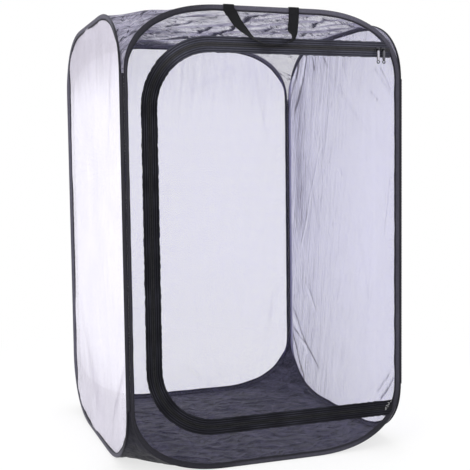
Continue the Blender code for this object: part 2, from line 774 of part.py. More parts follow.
def add_handle_tab(front, name, x):
    """Folded end of the webbing, sewn over the top edge of the front binding."""
    inner = FIT
    outer = FIT + STRAP_THICK
    section = (
        (-BAND_THICK - inner, HEIGHT - TAB_COVER), (-BAND_THICK - outer, HEIGHT - TAB_COVER),
        (-BAND_THICK - outer, HEIGHT + outer), (-PLY, HEIGHT + outer),
        (-PLY, HEIGHT + inner), (-BAND_THICK - inner, HEIGHT + inner),
    )
    points = []
    for side in (-1, 1):
        points += [(x + side * STRAP_WIDTH / 2, y, z) for y, z in section]
    count = len(section)
    faces = ring_faces(2, count, True, False)
    faces += [tuple(range(count)), tuple(count + k for k in range(count))]
    front.add(name, points, faces, "webbing")


def build():
    """Make every piece of the cage."""
    clear_scene()
    front_y = CAGE_Y - HALF_Y
    back_y = CAGE_Y + HALF_Y
    root = empty("root_body", (0.0, 0.0, 0.0))
    left_body = empty("left_body", (-HALF_X, back_y, 0.0), root)
    right_body = empty("right_body", (HALF_X, back_y, 0.0), root)
    front_body = empty("front_body", (-HALF_X, front_y, 0.0), left_body)
    back = Side("back", HALF_X, (0.0, back_y, 0.0), math.pi, root)
    left = Side("left", HALF_Y, (-HALF_X, CAGE_Y, 0.0), -math.pi / 2, left_body)
    right = Side("right", HALF_Y, (HALF_X, CAGE_Y, 0.0), math.pi / 2, right_body)
    front = Side("front", HALF_X, (0.0, front_y, 0.0), 0.0, front_body)
    for side in (back, left, right, front):
        add_binding(side)
        add_wire(side)
    for side in (back, left, right):
        add_side_mesh(side)
    add_roof(root)
    add_floor(root)
    add_seam("back_left_seam", -HALF_X, HALF_Y, root)
    add_seam("back_right_seam", HALF_X, HALF_Y, root)
    add_seam("front_left_seam", -HALF_X, -HALF_Y, left_body)
    add_seam("front_right_seam", HALF_X, -HALF_Y, right_body)
    hinge_y = front_y - MID_OUT - TEETH_THICK / 2
    door = empty("door_body", (fold_line(front), hinge_y, 0.0), front_body)
    add_zipper(front, door)
    add_front_sheets(front, door)
    add_bartack(front)
    for name, x in zip(("first", "second"), slider_places(front)):
        slider = empty(name + "_slider_body", (x, front_y - MID_OUT, ZIP_TOP), front_body)
        add_slider(front, name + "_slider", x, slider)
        staple = empty(name + "_pull_body", (x, front_y - MID_OUT - STAPLE_OUT, ZIP_TOP), slider)
        add_pull(front, name + "_pull_tab", x, staple)
    pivot = empty("handle_body", (HANDLE_CENTRE, front_y - HANDLE_PIVOT_OUT, HANDLE_PIVOT_Z), front_body)
    add_handle(front, pivot)
    for name, sign in (("handle_left_tab", -1), ("handle_right_tab", 1)):
        add_handle_tab(front, name, HANDLE_CENTRE + sign * HANDLE_SPAN / 2)


build()
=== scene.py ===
"""Looks of the fold-flat insect cage: netting, hooped bindings, zipper, webbing handle and
cloth floor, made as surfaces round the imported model. Metres, +Z up, the door towards -Y."""
from math import cos, hypot, pi, radians, sqrt

import bmesh
import bpy
import numpy as np
from mathutils import Matrix, Vector


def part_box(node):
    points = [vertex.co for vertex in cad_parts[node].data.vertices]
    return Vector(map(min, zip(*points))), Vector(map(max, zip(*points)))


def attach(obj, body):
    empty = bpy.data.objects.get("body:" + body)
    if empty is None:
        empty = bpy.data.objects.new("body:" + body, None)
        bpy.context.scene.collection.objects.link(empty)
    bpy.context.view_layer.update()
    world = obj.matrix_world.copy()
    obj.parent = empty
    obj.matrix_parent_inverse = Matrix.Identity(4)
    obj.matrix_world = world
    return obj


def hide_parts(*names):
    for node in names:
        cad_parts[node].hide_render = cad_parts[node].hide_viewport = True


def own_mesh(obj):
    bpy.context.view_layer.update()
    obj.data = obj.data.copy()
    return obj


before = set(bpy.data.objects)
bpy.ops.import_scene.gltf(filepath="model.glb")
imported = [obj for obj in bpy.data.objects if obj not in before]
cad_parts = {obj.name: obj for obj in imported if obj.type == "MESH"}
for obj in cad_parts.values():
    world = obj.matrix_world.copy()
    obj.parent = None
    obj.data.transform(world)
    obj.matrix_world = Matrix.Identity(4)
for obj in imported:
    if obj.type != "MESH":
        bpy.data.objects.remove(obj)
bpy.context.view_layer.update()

# Photograph's camera: place, yaw, pitch and roll in degrees, lens and sensor in millimetres
CAMERA_PLACE = (-0.6842, -2.0089, 0.6043)
CAMERA_TURNS = (19.518, 4.297, -0.742)
CAMERA_LENS = 70.786
CAMERA_SENSOR = 36.0

# Studio: lamps (name, place, size, power) and the point they face, light from all round, and
# the pale floor: half size, drop below the cage, and its white (distances and shares)
LAMPS = (
    ("left_softbox", (-2.6, -2.0, 2.0), 1.8, 40.0), ("right_softbox", (2.2, -2.4, 1.6), 1.8, 20.0),
    ("top_softbox", (0.2, 0.4, 3.2), 2.2, 32.0),
)
LAMP_TARGET = (0.0, 0.0, 0.45)
WORLD_STRENGTH = 0.85
STUDIO_REACH = 12.0
STUDIO_DROP = 0.0004
STUDIO_FADE = (0.4, 1.3, 0.72, 1.0)

# Rounded corner of every hoop: its reach along the level and upright sides, and how square
CORNER = np.array([0.200, 0.139])
CORNER_POWER = 2.3
ARC_STEPS = 60
HOOP_STEP = 0.006

# Binding tape, as inset and height, and the netting that it holds
BAND_WIDTH = 0.012
MOUTH_HALF = 0.00045
NET_INSET = 0.0075
EDGE_WOBBLE = 0.0004
WOBBLE_FADE = (0.006, 0.011)
STITCH_GROOVE = (0.0095, 0.0008)
BAND_SECTION = (
    (0.0, 0.0), (0.0003, 0.0009), (0.0011, 0.0016), (0.0022, 0.0021), (0.0032, 0.0021),
    (0.0043, 0.0017), (0.0054, 0.0012), (0.0072, 0.0011), (0.0087, 0.00105), STITCH_GROOVE,
    (0.0103, 0.00105), (0.0116, 0.00105), (BAND_WIDTH, 0.0008),
)

# Thread: stitches, and the loose whiskers of the stitched bar (how far they climb and lean
# across from its middle, their scatter and size)
STITCH_PITCH = 0.0042
STITCH_SIZE = (0.0029, 0.00048, 0.00048)
THREAD_STATIONS = ((-1, 0.35), (0, 1), (1, 0.35))
WHISKERS = 9
WHISKER_CLIMB = (-0.003, 0.013)
WHISKER_DRIFT = (-0.006, 0.0055)
WHISKER_SPREAD = 0.0024
WHISKER_SIZE = (0.0046, 0.0007, 0.0007)
WHISKER_TURN = 2.4
WHISKER_SLOPES = (0.7, 1.1)

# Lean of the upright runs of the tape towards the inside of the cage, about the wire, and the
# heights from the hoop's top and bottom over which it fades in
WIRE_INSET = 0.0028
TAPE_LEAN = 45.0
LEAN_FADE = (0.05, 0.11)

# Corner seams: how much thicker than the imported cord, how far past it, and the thread's pitch
SEAM_SWELL = 1.85
SEAM_RUN_ON = 0.004
SEAM_WHIPPING = 0.006
SEAM_ROWS = 720

# Nets of the sides and the front: slow hollows and small waves (squeeze upwards, spacing and
# height of each), height of listed folds, the gathers at the sewn edge, and the calm by it
RIPPLE_COUNT = 9
SIDE_WAVES = ((0.45, 0.16, 0.0030), (0.3, 0.035, 0.0007), 0.0035)
FRONT_WAVES = ((0.5, 0.15, 0.0016), (0.4, 0.03, 0.0005), 0.002)
PUCKER_LENGTH = 0.0023
PUCKER_HEIGHT = 0.0007
PUCKER_RISE = 0.006
PUCKER_FADE = 0.02
NET_CALM = 0.03
NET_PITCH = 0.0015

# Distances over which the nets settle back from the leaning tape
SIDE_SETTLE = 0.03
FRONT_SETTLE = 0.018
SURROUND_SETTLE = 0.012

# Roof and floor: where they are sewn, how far the long and short waves, the folds and the
# slack lift them, their calm edges, and the grid
SHEET_INSET = 0.003
SHEET_GAP = -0.0006
ROOF_SLANT = 0.9
ROOF_LIFTS = (0.0036, 0.0016, 0.004, 0.004)
ROOF_CALM = 0.035
FLOOR_LIFTS = (0.0028, 0.0013)
FLOOR_CALM = 0.02
EAR_STEPS = 36
EAR_COLUMNS = 66
RUN_STEPS = 90
WELD_GAP = 1e-5

# Rows and columns of the front's nets
STRIP_GRID = (200, 19)
DOOR_GRID = (240, 140)
SURROUND_COLUMNS = 15

# Zipper: teeth and tape as distances from the middle of the chain, and the tape's section
TEETH_IN = 0.0007
TEETH_OUT = 0.0033
TEETH_LENGTH = 0.0028
TEETH_HEIGHT = 0.0019
TEETH_PITCH = 0.0023
TEETH_LAP = 0.0008
TEETH_STATIONS = ((-1, 0.55), (-0.75, 1.0), (0.75, 1.0), (1, 0.55))
TAPE_OUT = 0.0161
TAPE_LAP = 0.0002
ZIP_CORNER_RADIUS = 0.125
ZIP_STEP = 0.005
TAPE_SECTION = (
    (-0.0001, 0.0003), (0.0036, 0.0003), (0.0044, 0.0007), (0.0052, 0.0011), (0.0066, 0.0011),
    (0.0074, 0.0004), (0.0088, 0.0004), (0.0096, 0.0011), (0.0110, 0.0011), (0.0118, 0.0004),
    (0.0132, 0.0004), (0.0140, 0.0011), (0.0154, 0.0011), (TAPE_OUT, 0.0004),
)
HEM_START = 0.0134
FRAY = 0.0005
# Heights from which the tape and coil take a painted highlight towards the top
HIGHLIGHT_FROM = (0.76, 0.83)

# Sliders and pulls: plates, post and staple, ring and eye, half width of a stem, and how
# strong the painted highlight on its face is
PLATE_OUT = 0.00178
PLATE_THICK = 0.0010
PLATE_POWER = 0.45
POST_POWER = 0.6
BLOCK_STEPS = 14
POST_IN = 0.0012
POST_SIZE = (0.0018, 0.0012, 0.0034)
STAPLE_HALF = 0.0034
STAPLE_FOOT = 0.0019
STAPLE_WIRE = 0.00045
RING_RADIUS = 0.0028
RING_LIFT = 0.0008
RING_WIRE = (0.0011, 0.6)
EYE_RADIUS = 0.0015
EYE_WIRE = (0.0006, 2.2)
STEM_THICK = 0.0006
STEM_LAPS = (0.0001, 0.0002)
PULL_HALF_WIDTH = 0.0034
PULL_WAIST = 0.55
PULL_HIGHLIGHT = {"first": 0.34, "second": 0.05}

# Webbing handle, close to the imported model's
STRAP_WIDTH = 0.022
STRAP_THICK = 0.0013
STRAP_POWERS = (0.35, 0.6)
HANDLE_BULGE = 0.0085
HANDLE_PATH_SHARES = (
    (0.0, 0.0), (0.050, 0.10), (0.125, 0.36), (0.225, 0.585), (0.34, 0.80), (0.48, 0.95),
    (0.64, 1.0), (0.80, 0.98), (0.925, 0.84), (0.970, 0.62), (0.99, 0.30), (1.0, 0.0),
)
HANDLE_TWISTS = ((0.05, 1.30), (0.50, 0.97))
TAB_BEND = 0.0014

# Listed folds: places of both ends along the panel (or across) and up (or along the depth),
# width and strength
# In the nets and the roof a fold's strength also paints the net denser and darker as painted
# shade, and a negative strength lighter as a painted highlight
RIGHT_FOLDS = (
    (0.265, 0.89, 0.305, 0.78, 0.004, 0.9), (0.228, 0.89, 0.262, 0.82, 0.004, 0.8),
    (0.260, 0.83, 0.300, 0.72, 0.004, 0.7), (0.194, 0.89, 0.215, 0.82, 0.004, 0.7),
    (0.213, 0.83, 0.258, 0.74, 0.004, 0.6), (0.232, 0.80, 0.222, 0.40, 0.042, 0.22),
    (0.246, 0.89, 0.282, 0.76, 0.005, -0.5), (0.205, 0.88, 0.232, 0.80, 0.005, -0.4),
    (0.155, 0.88, 0.136, 0.84, 0.003, 0.45), (0.085, 0.87, 0.058, 0.84, 0.003, 0.35),
    (-0.209, 0.815, -0.268, 0.755, 0.0028, 0.4), (-0.165, 0.766, -0.212, 0.732, 0.0028, 0.3),
    (-0.190, 0.80, -0.245, 0.745, 0.004, -0.3), (0.18, 0.60, 0.10, 0.42, 0.006, 0.12),
    (0.045, 0.745, 0.075, 0.62, 0.003, -0.28), (0.052, 0.745, 0.082, 0.62, 0.003, 0.22),
    (0.092, 0.65, 0.174, 0.513, 0.0025, -0.45), (0.098, 0.65, 0.180, 0.513, 0.003, 0.30),
    (0.168, 0.52, 0.225, 0.38, 0.0025, -0.45), (0.174, 0.52, 0.231, 0.38, 0.003, 0.30),
    (-0.257, 0.58, -0.230, 0.44, 0.0028, 0.35), (-0.246, 0.58, -0.219, 0.44, 0.0035, -0.25),
    (0.190, 0.285, 0.130, 0.225, 0.003, 0.35), (0.202, 0.285, 0.140, 0.222, 0.004, -0.25),
    (0.270, 0.165, 0.116, 0.080, 0.003, 0.6), (0.275, 0.150, 0.205, 0.015, 0.003, 0.6),
    (0.270, 0.22, 0.20, 0.12, 0.0035, 0.35), (0.275, 0.195, 0.19, 0.10, 0.006, -0.35),
    (-0.275, 0.145, -0.200, 0.070, 0.0026, 0.75), (-0.258, 0.155, -0.190, 0.088, 0.0026, 0.5),
)
LEFT_FOLDS = (
    (-0.20, 0.30, 0.05, 0.05, 0.03, 0.25), (0.24, 0.85, 0.18, 0.62, 0.012, 0.3),
    (-0.23, 0.80, -0.18, 0.70, 0.010, 0.25), (0.27, 0.22, 0.18, 0.08, 0.008, 0.4),
)
BACK_FOLDS = (
    (-0.20, 0.86, -0.25, 0.60, 0.008, 0.3), (0.22, 0.84, 0.26, 0.62, 0.008, 0.3),
    (0.26, 0.28, 0.20, 0.10, 0.008, 0.35), (-0.26, 0.28, -0.21, 0.10, 0.008, 0.35),
)
FRONT_FOLDS = (
    (0.20, 0.85, 0.28, 0.74, 0.004, 0.5), (-0.10, 0.89, 0.02, 0.87, 0.005, 0.3),
    (-0.27, 0.25, -0.22, 0.12, 0.006, 0.3), (0.10, 0.03, 0.24, 0.06, 0.006, 0.3),
)
DOOR_FOLDS = (
    (0.12, 0.80, 0.225, 0.66, 0.004, 0.35), (0.20, 0.45, 0.225, 0.30, 0.005, 0.25),
    (-0.18, 0.74, -0.05, 0.80, 0.006, 0.2), (-0.19, 0.22, -0.08, 0.13, 0.006, 0.25),
)
ROOF_FOLDS = (
    (-0.006, 0.02, 0.002, -0.09, 0.004, 0.9), (0.002, -0.08, -0.006, -0.18, 0.004, 0.9),
    (-0.006, -0.17, 0.013, -0.265, 0.004, 0.9), (0.036, -0.065, 0.057, -0.128, 0.0035, 0.7),
    (0.064, -0.046, 0.094, -0.106, 0.0035, 0.7), (0.096, -0.027, 0.122, -0.105, 0.0035, 0.7),
    (0.122, -0.095, 0.121, -0.18, 0.0035, 0.6), (-0.100, 0.04, -0.054, 0.01, 0.006, 0.7),
    (-0.056, 0.015, -0.033, -0.14, 0.004, 0.8), (-0.101, 0.141, -0.019, 0.085, 0.008, 0.6),
    (-0.021, 0.095, 0.003, -0.08, 0.004, 0.7), (-0.139, -0.195, -0.103, -0.236, 0.005, 0.6),
    (0.171, -0.135, 0.145, -0.247, 0.004, 0.9), (0.145, -0.245, 0.175, -0.247, 0.004, 0.6),
    (0.173, -0.247, 0.268, -0.15, 0.004, 0.6), (-0.170, 0.03, -0.240, -0.067, 0.008, 0.5),
    (-0.139, -0.04, -0.104, -0.155, 0.005, 0.6), (0.136, 0.03, 0.158, -0.03, 0.0035, 0.5),
    (0.198, 0.0, 0.211, -0.09, 0.0035, 0.5), (-0.200, 0.10, -0.270, 0.20, 0.008, 0.5),
)


def box(node):
    """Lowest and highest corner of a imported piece."""
    return np.array(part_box(node))


def smooth(value, start, end):
    """Smooth step from nought to one between two values."""
    t = np.clip((value - start) / (end - start), 0.0, 1.0)
    return t * t * (3 - 2 * t)


def signed_power(value, power):
    """Power of a value's size with its sign kept, as superellipses need."""
    return np.sign(value) * np.abs(value) ** power


def spots_of(*parts):
    """Points from their coordinates, each an array or a number."""
    return np.stack(np.broadcast_arrays(*parts), axis=-1)


def unit(ways):
    """Directions made one long."""
    return ways / np.linalg.norm(ways, axis=-1, keepdims=True)


def circle(count):
    """Evenly spaced angles once round."""
    return np.linspace(0.0, 2 * pi, count + 1)[:-1]


def evenly(length, pitch):
    """Places from nought to a length, about a pitch apart."""
    return np.linspace(0.0, length, round(length / pitch) + 1)


def eased(count):
    """Shares from nought to one in a column, closer together at both ends."""
    return 0.5 - 0.5 * np.cos(np.linspace(0.0, pi, count))[:, None]


def run_of(points, joined=False):
    """Length run along a line of points, with the way back to the first if they join."""
    line = np.vstack([points, points[:1]]) if joined else points
    return np.concatenate([[0.0], np.cumsum(np.linalg.norm(np.diff(line, axis=0), axis=1))])


def resampled(places, run, *lines):
    """Lines of points read off at other places along their run."""
    return [np.stack([np.interp(places, run, part) for part in line.T], axis=1)
            for line in lines]


def ripples(x, y, spacing, seed, stretch=1.0):
    """Sum of sine waves of about one spacing in seeded directions, mostly between -1 and 1.
    A stretch above one draws the waves out along x."""
    pick = np.random.default_rng(seed)
    total = 0.0
    for _ in range(RIPPLE_COUNT):
        turn = pick.uniform(0.0, 2 * pi)
        size = spacing * pick.uniform(0.7, 1.5)
        phase = pick.uniform(0.0, 2 * pi)
        way = x * np.cos(turn) / stretch + y * np.sin(turn)
        total = total + np.sin(2 * pi * way / size + phase)
    return total / sqrt(RIPPLE_COUNT)


def sharp_folds(x, y, spacing, seed, stretch):
    """Net of narrow crests where the ripples pass through nought, from 0 to 1."""
    return np.clip(1.0 - np.abs(ripples(x, y, spacing, seed, stretch)) * 1.6, 0.0, 1.0) ** 2


def line_folds(x, y, lines):
    """Height of listed folds from 0 to 1: a sum of bells across the lines, each fading to
    its ends."""
    total = 0.0
    for x0, y0, x1, y1, width, strength in lines:
        dx, dy = x1 - x0, y1 - y0
        size = hypot(dx, dy)
        along = ((x - x0) * dx + (y - y0) * dy) / size ** 2
        across = ((x - x0) * dy - (y - y0) * dx) / size
        taper = smooth(along, -0.1, 0.15) * smooth(along, 1.1, 0.75)
        total = total + strength * taper * np.exp(-(across / width) ** 2)
    return total


class Panel:
    """A hooped side. Points in it are given along it, up, and out from its netting."""

    def __init__(self, name, body, turn):
        low, high = box(name + "_binding")
        self.name = name
        self.body = body
        self.middle = (low + high) / 2 * (1, 1, 0)
        self.half = max(high[:2] - low[:2]) / 2
        self.outward = np.array([np.sin(turn), -np.cos(turn), 0.0])
        self.axes = np.array([(np.cos(turn), np.sin(turn), 0.0), (0.0, 0.0, 1.0), self.outward])

    def turn_in(self, along, up, out=0.0):
        """World directions from ones along, up and outwards."""
        return spots_of(along, up, out) @ self.axes

    def place(self, along, up, out):
        """World points from places along, up and outwards."""
        return self.middle + self.turn_in(along, up, out)


BACK, LEFT, RIGHT, FRONT = PANELS = (
    Panel("back", "root", pi), Panel("left", "left_side", -pi / 2),
    Panel("right", "right_side", pi / 2), Panel("front", "front_side", 0.0),
)
FRONT_LOW, FRONT_HIGH = box("front_binding")
HEIGHT = FRONT_HIGH[2]
BAND_HALF = (FRONT_HIGH[1] - FRONT_LOW[1]) / 2
CAGE_Y = (FRONT.middle[1] + BACK.middle[1]) / 2
HALF_X = RIGHT.middle[0] - BAND_HALF
HALF_Y = BACK.middle[1] - BAND_HALF - CAGE_Y
SEAM_GAP = HALF_X - FRONT.half
ZIP_TOP = box("zipper_upper_end_teeth")[1][2] + TEETH_IN
ZIP_BOTTOM = box("zipper_lower_end_teeth")[0][2] - TEETH_IN
ZIP_LEFT = box("door_teeth")[0][0] - TEETH_IN
DOOR_END = box("door_mesh")[1][0]
STRIP_START = box("front_hinge_strip")[0][0]


def corner_arc(inset):
    """Quarter of a hoop corner from its upright side to its level side: distance in from the
    side and height, and inward normal, on a superellipse moved inwards by the inset."""
    turn = np.linspace(0.0, pi / 2, ARC_STEPS + 1)
    shape = np.abs(spots_of(np.cos(turn), np.sin(turn))) ** (2 / CORNER_POWER)
    shape[-1, 0] = 0.0
    normal = unit(shape ** (CORNER_POWER - 1) / CORNER)
    return CORNER * (1 - shape) + inset * normal, normal


def hoop_outline(half):
    """Evenly spaced points round a hoop's outer edge, seen from outside and starting at the
    lower left, their inward normals, and the length run at each."""
    arc, normal = corner_arc(0.0)
    line, ways = [], []
    for sx, sy, step in ((1, 1, 1), (-1, 1, -1), (-1, -1, 1), (1, -1, -1)):
        line.append(arc[::step] * (sx, sy) + (-sx * half, HEIGHT * (sy < 0)))
        ways.append(normal[::step] * (sx, sy))
    line = np.vstack([*line, line[0][:1]])
    run = run_of(line)
    even = evenly(run[-1], HOOP_STEP)[:-1]
    line, ways = resampled(even, run, line, np.vstack([*ways, ways[0][:1]]))
    return line, unit(ways), even


def from_end(up):
    """Distance to the nearer of a hoop's top and bottom."""
    return np.minimum(up, HEIGHT - np.asarray(up))


def hoop_x(half, up):
    """Right-hand end along a panel of its netting at some heights."""
    arc = corner_arc(NET_INSET)[0][::-1]
    return half - np.interp(from_end(up), arc[:, 1], arc[:, 0])


def lean_at(up):
    """Angle by which the tape leans inwards at a height: full along the upright runs and
    nought over the rounded corners."""
    return radians(TAPE_LEAN) * smooth(from_end(up), *LEAN_FADE)


def leaned(panel, spots, normals, section):
    """World points of a section of (inset, out) pairs round the hoop, turned inwards about
    the wire by the lean at each height."""
    turn = lean_at(spots[:, 1:]) * np.abs(normals[:, :1])
    reach, rise = section[..., 0] - WIRE_INSET, section[..., 1]
    inset = WIRE_INSET + reach * np.cos(turn) + rise * np.sin(turn)
    flat = spots[:, None] + normals[:, None] * inset[..., None]
    return panel.place(flat[..., 0], flat[..., 1], rise * np.cos(turn) - reach * np.sin(turn))


def lean_out(half, along, up, settle):
    """Where leaning tape carries the netting: straight in from the wire to the tape's edge,
    then back to the panel's plane over the settling distance."""
    inset = half - np.abs(along)
    turn = lean_at(up)
    tip = WIRE_INSET + (BAND_WIDTH - WIRE_INSET) * np.cos(turn)
    held = np.minimum(np.maximum(inset, WIRE_INSET), tip) - WIRE_INSET
    return -np.tan(turn) * held * np.exp(-(np.maximum(inset - tip, 0.0) / settle) ** 1.3)


def flatten(piece):
    """Give a piece its own copy of its mesh."""
    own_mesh(piece)


def grid_faces(rows, cols, around, closed):
    """Corners of the quads on a grid, as numbers of points and as numbers of coordinates,
    where the coordinates have one more column or row if the grid joins up."""
    r = np.arange(rows if closed else rows - 1)[:, None]
    c = np.arange(cols if around else cols - 1)[None, :]
    corners = ((r, c), (r, c + 1), (r + 1, c + 1), (r + 1, c))
    points = [(i % rows) * cols + j % cols for i, j in corners]
    places = [i * (cols + around) + j for i, j in corners]
    return [np.stack(numbers, axis=-1).reshape(-1, 4) for numbers in (points, places)]


def patch(points, around=False, closed=False, cloth=None, caps=False, fold=0.0, flip=False):
    """Part of a mesh from a grid of points: joined round its columns or its rows, with its
    cloth coordinates in metres, flat ends if wanted, and a mark for folds, painted shade and
    painted highlight."""
    rows, cols = points.shape[:2]
    faces, places = grid_faces(rows, cols, around, closed)
    if cloth is None:
        cloth = spots_of(run_of(points[:, 0], closed)[:, None], run_of(points[0], around))
    coords = cloth.reshape(-1, 2)[places]
    if flip:
        faces, coords = faces[:, ::-1], coords[:, ::-1]
    faces, coords = faces.tolist(), coords.reshape(-1, 2)
    if caps:
        ends = [list(range(cols))[::-1], list(range((rows - 1) * cols, rows * cols))]
        faces += [end[::-1] for end in ends] if flip else ends
        coords = np.vstack([coords, np.zeros((2 * cols, 2))])
    return points.reshape(-1, 3), faces, coords, np.broadcast_to(fold, (rows, cols)).ravel()


def carried(section, route, across, out):
    """A section of (across, out) pairs set along a route: point = place + across part + out
    part, for every station and every pair."""
    across, out = (np.broadcast_to(way, route.shape)[:, None] for way in (across, out))
    return route[:, None] + section[:, :1] * across + section[:, 1:] * out


def bars(centres, ahead, across, out, size, sides=4, stations=THREAD_STATIONS):
    """Many small tapered bars as one part: each a short tube of a few sides along its own
    direction, with its length, width and height as the size."""
    turn = 2 * pi * (np.arange(sides) + 0.5) / sides
    length, wide, high = np.array(size) / 2
    ring = spots_of(np.cos(turn) * wide, np.sin(turn) * high) * sqrt(2)
    points = np.stack([carried(scale * ring, centres + end * length * ahead, across, out)
                       for end, scale in stations], axis=1)
    count = len(stations) * sides
    one = grid_faces(len(stations), sides, True, False)[0].tolist()
    one += [list(range(sides))[::-1], list(range(count - sides, count))]
    faces = [[k + bar * count for k in face] for bar in range(len(centres)) for face in one]
    coords = np.zeros((sum(map(len, faces)), 2))
    return points.reshape(-1, 3), faces, coords, np.zeros(len(centres) * count)


def add_to_scene(name, data):
    """A new object in the scene."""
    item = bpy.data.objects.new(name, data)
    bpy.context.scene.collection.objects.link(item)
    return item


def make(name, parts, look, body, node=None):
    """A mesh object from parts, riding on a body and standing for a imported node."""
    points, faces, coords, marks = zip(*parts)
    starts = np.cumsum([0, *map(len, points)]).tolist()
    mesh = bpy.data.meshes.new(name)
    mesh.from_pydata(np.vstack(points).tolist(), [], [
        [k + start for k in face] for start, part in zip(starts, faces) for face in part])
    layer = mesh.uv_layers.new(name="cloth")
    layer.data.foreach_set("uv", np.vstack(coords).astype(np.float32).ravel())
    # The fold mark carries folds, painted shade and painted highlight, by piece
    mark = mesh.attributes.new("fold", "FLOAT", "POINT")
    mark.data.foreach_set("value", np.concatenate(marks).astype(np.float32))
    material, slot = LOOKS[look]
    mesh.materials.append(material)
    mesh.shade_smooth()
    piece = add_to_scene(name, mesh)
    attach(piece, body)
    if node:
        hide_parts(node)
    return piece


def feed(tree, socket, value):
    """Give a socket another socket's value, a colour or a number."""
    if isinstance(value, bpy.types.NodeSocket):
        tree.links.new(value, socket)
    else:
        socket.default_value = (*value, 1.0) if socket.type == "RGBA" else value


def shader_node(tree, kind, inputs=(), **settings):
    """A shader node with its settings, and its inputs in order or by number or name."""
    item = tree.nodes.new("ShaderNode" + kind)
    for key, value in settings.items():
        setattr(item, key, value)
    for key, value in inputs.items() if isinstance(inputs, dict) else enumerate(inputs):
        feed(tree, item.inputs[key], value)
    return item.outputs


def maths(tree, operation, *values):
    """A Math node's result, from sockets or numbers."""
    return shader_node(tree, "Math", values, operation=operation)[0]


def added(tree, base, value, share):
    """A value times its share, added to a base."""
    return maths(tree, "ADD", base, maths(tree, "MULTIPLY", value, share))


def ranged(tree, value, low, high, to_low=0.0, to_high=1.0):
    """A smooth Map Range node's result."""
    return shader_node(tree, "MapRange", (value, low, high, to_low, to_high),
                       interpolation_type="SMOOTHSTEP")[0]


def mixed(tree, share, first, second):
    """A colour mixed from two, each a socket or a colour."""
    return shader_node(tree, "Mix", {0: share, 6: first, 7: second}, data_type="RGBA")[2]


def noise(tree, scale, detail, vector=None):
    """A noise texture's value over object coordinates or a vector."""
    vector = vector or shader_node(tree, "TexCoord")["Object"]
    return shader_node(tree, "TexNoise", {"Scale": scale, "Detail": detail, "Vector": vector})[0]


def cloth_coordinates(tree):
    """The piece's own cloth coordinates in metres, split in two."""
    source = shader_node(tree, "UVMap", uv_map="cloth")[0]
    return shader_node(tree, "SeparateXYZ", (source,))[:2]


def stretched(tree, scales):
    """Cloth coordinates scaled along and across, the first slanted by the third value."""
    along, across = cloth_coordinates(tree)
    slanted = added(tree, along, across, scales[2])
    return (maths(tree, "MULTIPLY", slanted, scales[0]),
            maths(tree, "MULTIPLY", across, scales[1]))


def ridge(tree, detail, place):
    """How far a noise at a place is from its middle value."""
    wave = noise(tree, 1.0, detail, place)
    return maths(tree, "ABSOLUTE", maths(tree, "SUBTRACT", wave, 0.5))


def open_weave(tree, pitch, share):
    """Open square weave: threads both ways at a pitch, of a width share of it. Gives where
    thread lies and how high it stands."""
    half = maths(tree, "MULTIPLY", share, 0.5)
    low, high = (maths(tree, "MULTIPLY", half, part) for part in (0.75, 1.25))
    lines = []
    for coordinate in cloth_coordinates(tree):
        away = maths(tree, "PINGPONG", maths(tree, "DIVIDE", coordinate, pitch), 0.5)
        lines.append(ranged(tree, away, low, high, 1.0, 0.0))
    return maths(tree, "MAXIMUM", *lines), maths(tree, "ADD", *lines)


def close_weave(tree, pitch):
    """Close weave of tape and webbing: ribs across the length and fine ribs along it."""
    along, across = (maths(tree, "DIVIDE", part, pitch) for part in cloth_coordinates(tree))
    rib = maths(tree, "PINGPONG", along, 0.5)
    cord = maths(tree, "PINGPONG", maths(tree, "ADD", across, rib), 0.5)
    height = maths(tree, "MULTIPLY", ranged(tree, rib, 0.05, 0.45),
                   ranged(tree, cord, 0.0, 0.4, 0.35, 1.0))
    fleck = ranged(tree, noise(tree, 260.0, 2.0), 0.3, 0.7, 0.6, 1.0)
    return height, maths(tree, "MULTIPLY", height, fleck)


def tone_drift(tree, amount):
    """Slow blotches of tone and a fine fleck, as soft cloth and plating show."""
    slow = ranged(tree, noise(tree, 9.0, 4.0), 0.3, 0.7, -1.0, 1.0)
    fine = ranged(tree, noise(tree, 150.0, 2.0), 0.3, 0.7, -0.5, 0.5)
    both = maths(tree, "MULTIPLY", maths(tree, "ADD", slow, fine), amount)
    return (maths(tree, "ADD", both, 1.0),)


def crease_lines(tree, *values):
    """Thin broken lines where a stretched noise over the cloth passes its middle value: scales
    along and across the cloth, slant, and width of the lines."""
    place = shader_node(tree, "CombineXYZ", stretched(tree, values))[0]
    line = ranged(tree, ridge(tree, 3.0, place), 0.0, values[3], 1.0, 0.0)
    gaps = noise(tree, 0.7, 1.0, place)
    return (maths(tree, "MULTIPLY", line, ranged(tree, gaps, 0.42, 0.6)),)


def fold_relief(tree, *values):
    """Painted light and shade on the two sides of long soft folds: the step in a ridged stretched
    noise between two near places on the cloth. Scales, slant, step and gain."""
    along, across = stretched(tree, values)
    here, there = (ridge(tree, 2.0, shader_node(tree, "CombineXYZ", (part, across))[0])
                   for part in (along, maths(tree, "ADD", along, values[3])))
    return (maths(tree, "MULTIPLY", maths(tree, "SUBTRACT", there, here), values[4]),)


def new_group(maker, inputs, outputs):
    """A shader node group with named float inputs and outputs, filled by its maker."""
    group = bpy.data.node_groups.new(maker.__name__, "ShaderNodeTree")
    for way, labels in (("INPUT", inputs), ("OUTPUT", outputs)):
        for label in labels:
            group.interface.new_socket(label, in_out=way, socket_type="NodeSocketFloat")
    source = group.nodes.new("NodeGroupInput").outputs[:len(inputs)]
    target = group.nodes.new("NodeGroupOutput").inputs
    for number, value in enumerate(maker(group, *source)):
        feed(group, target[number], value)
    return group


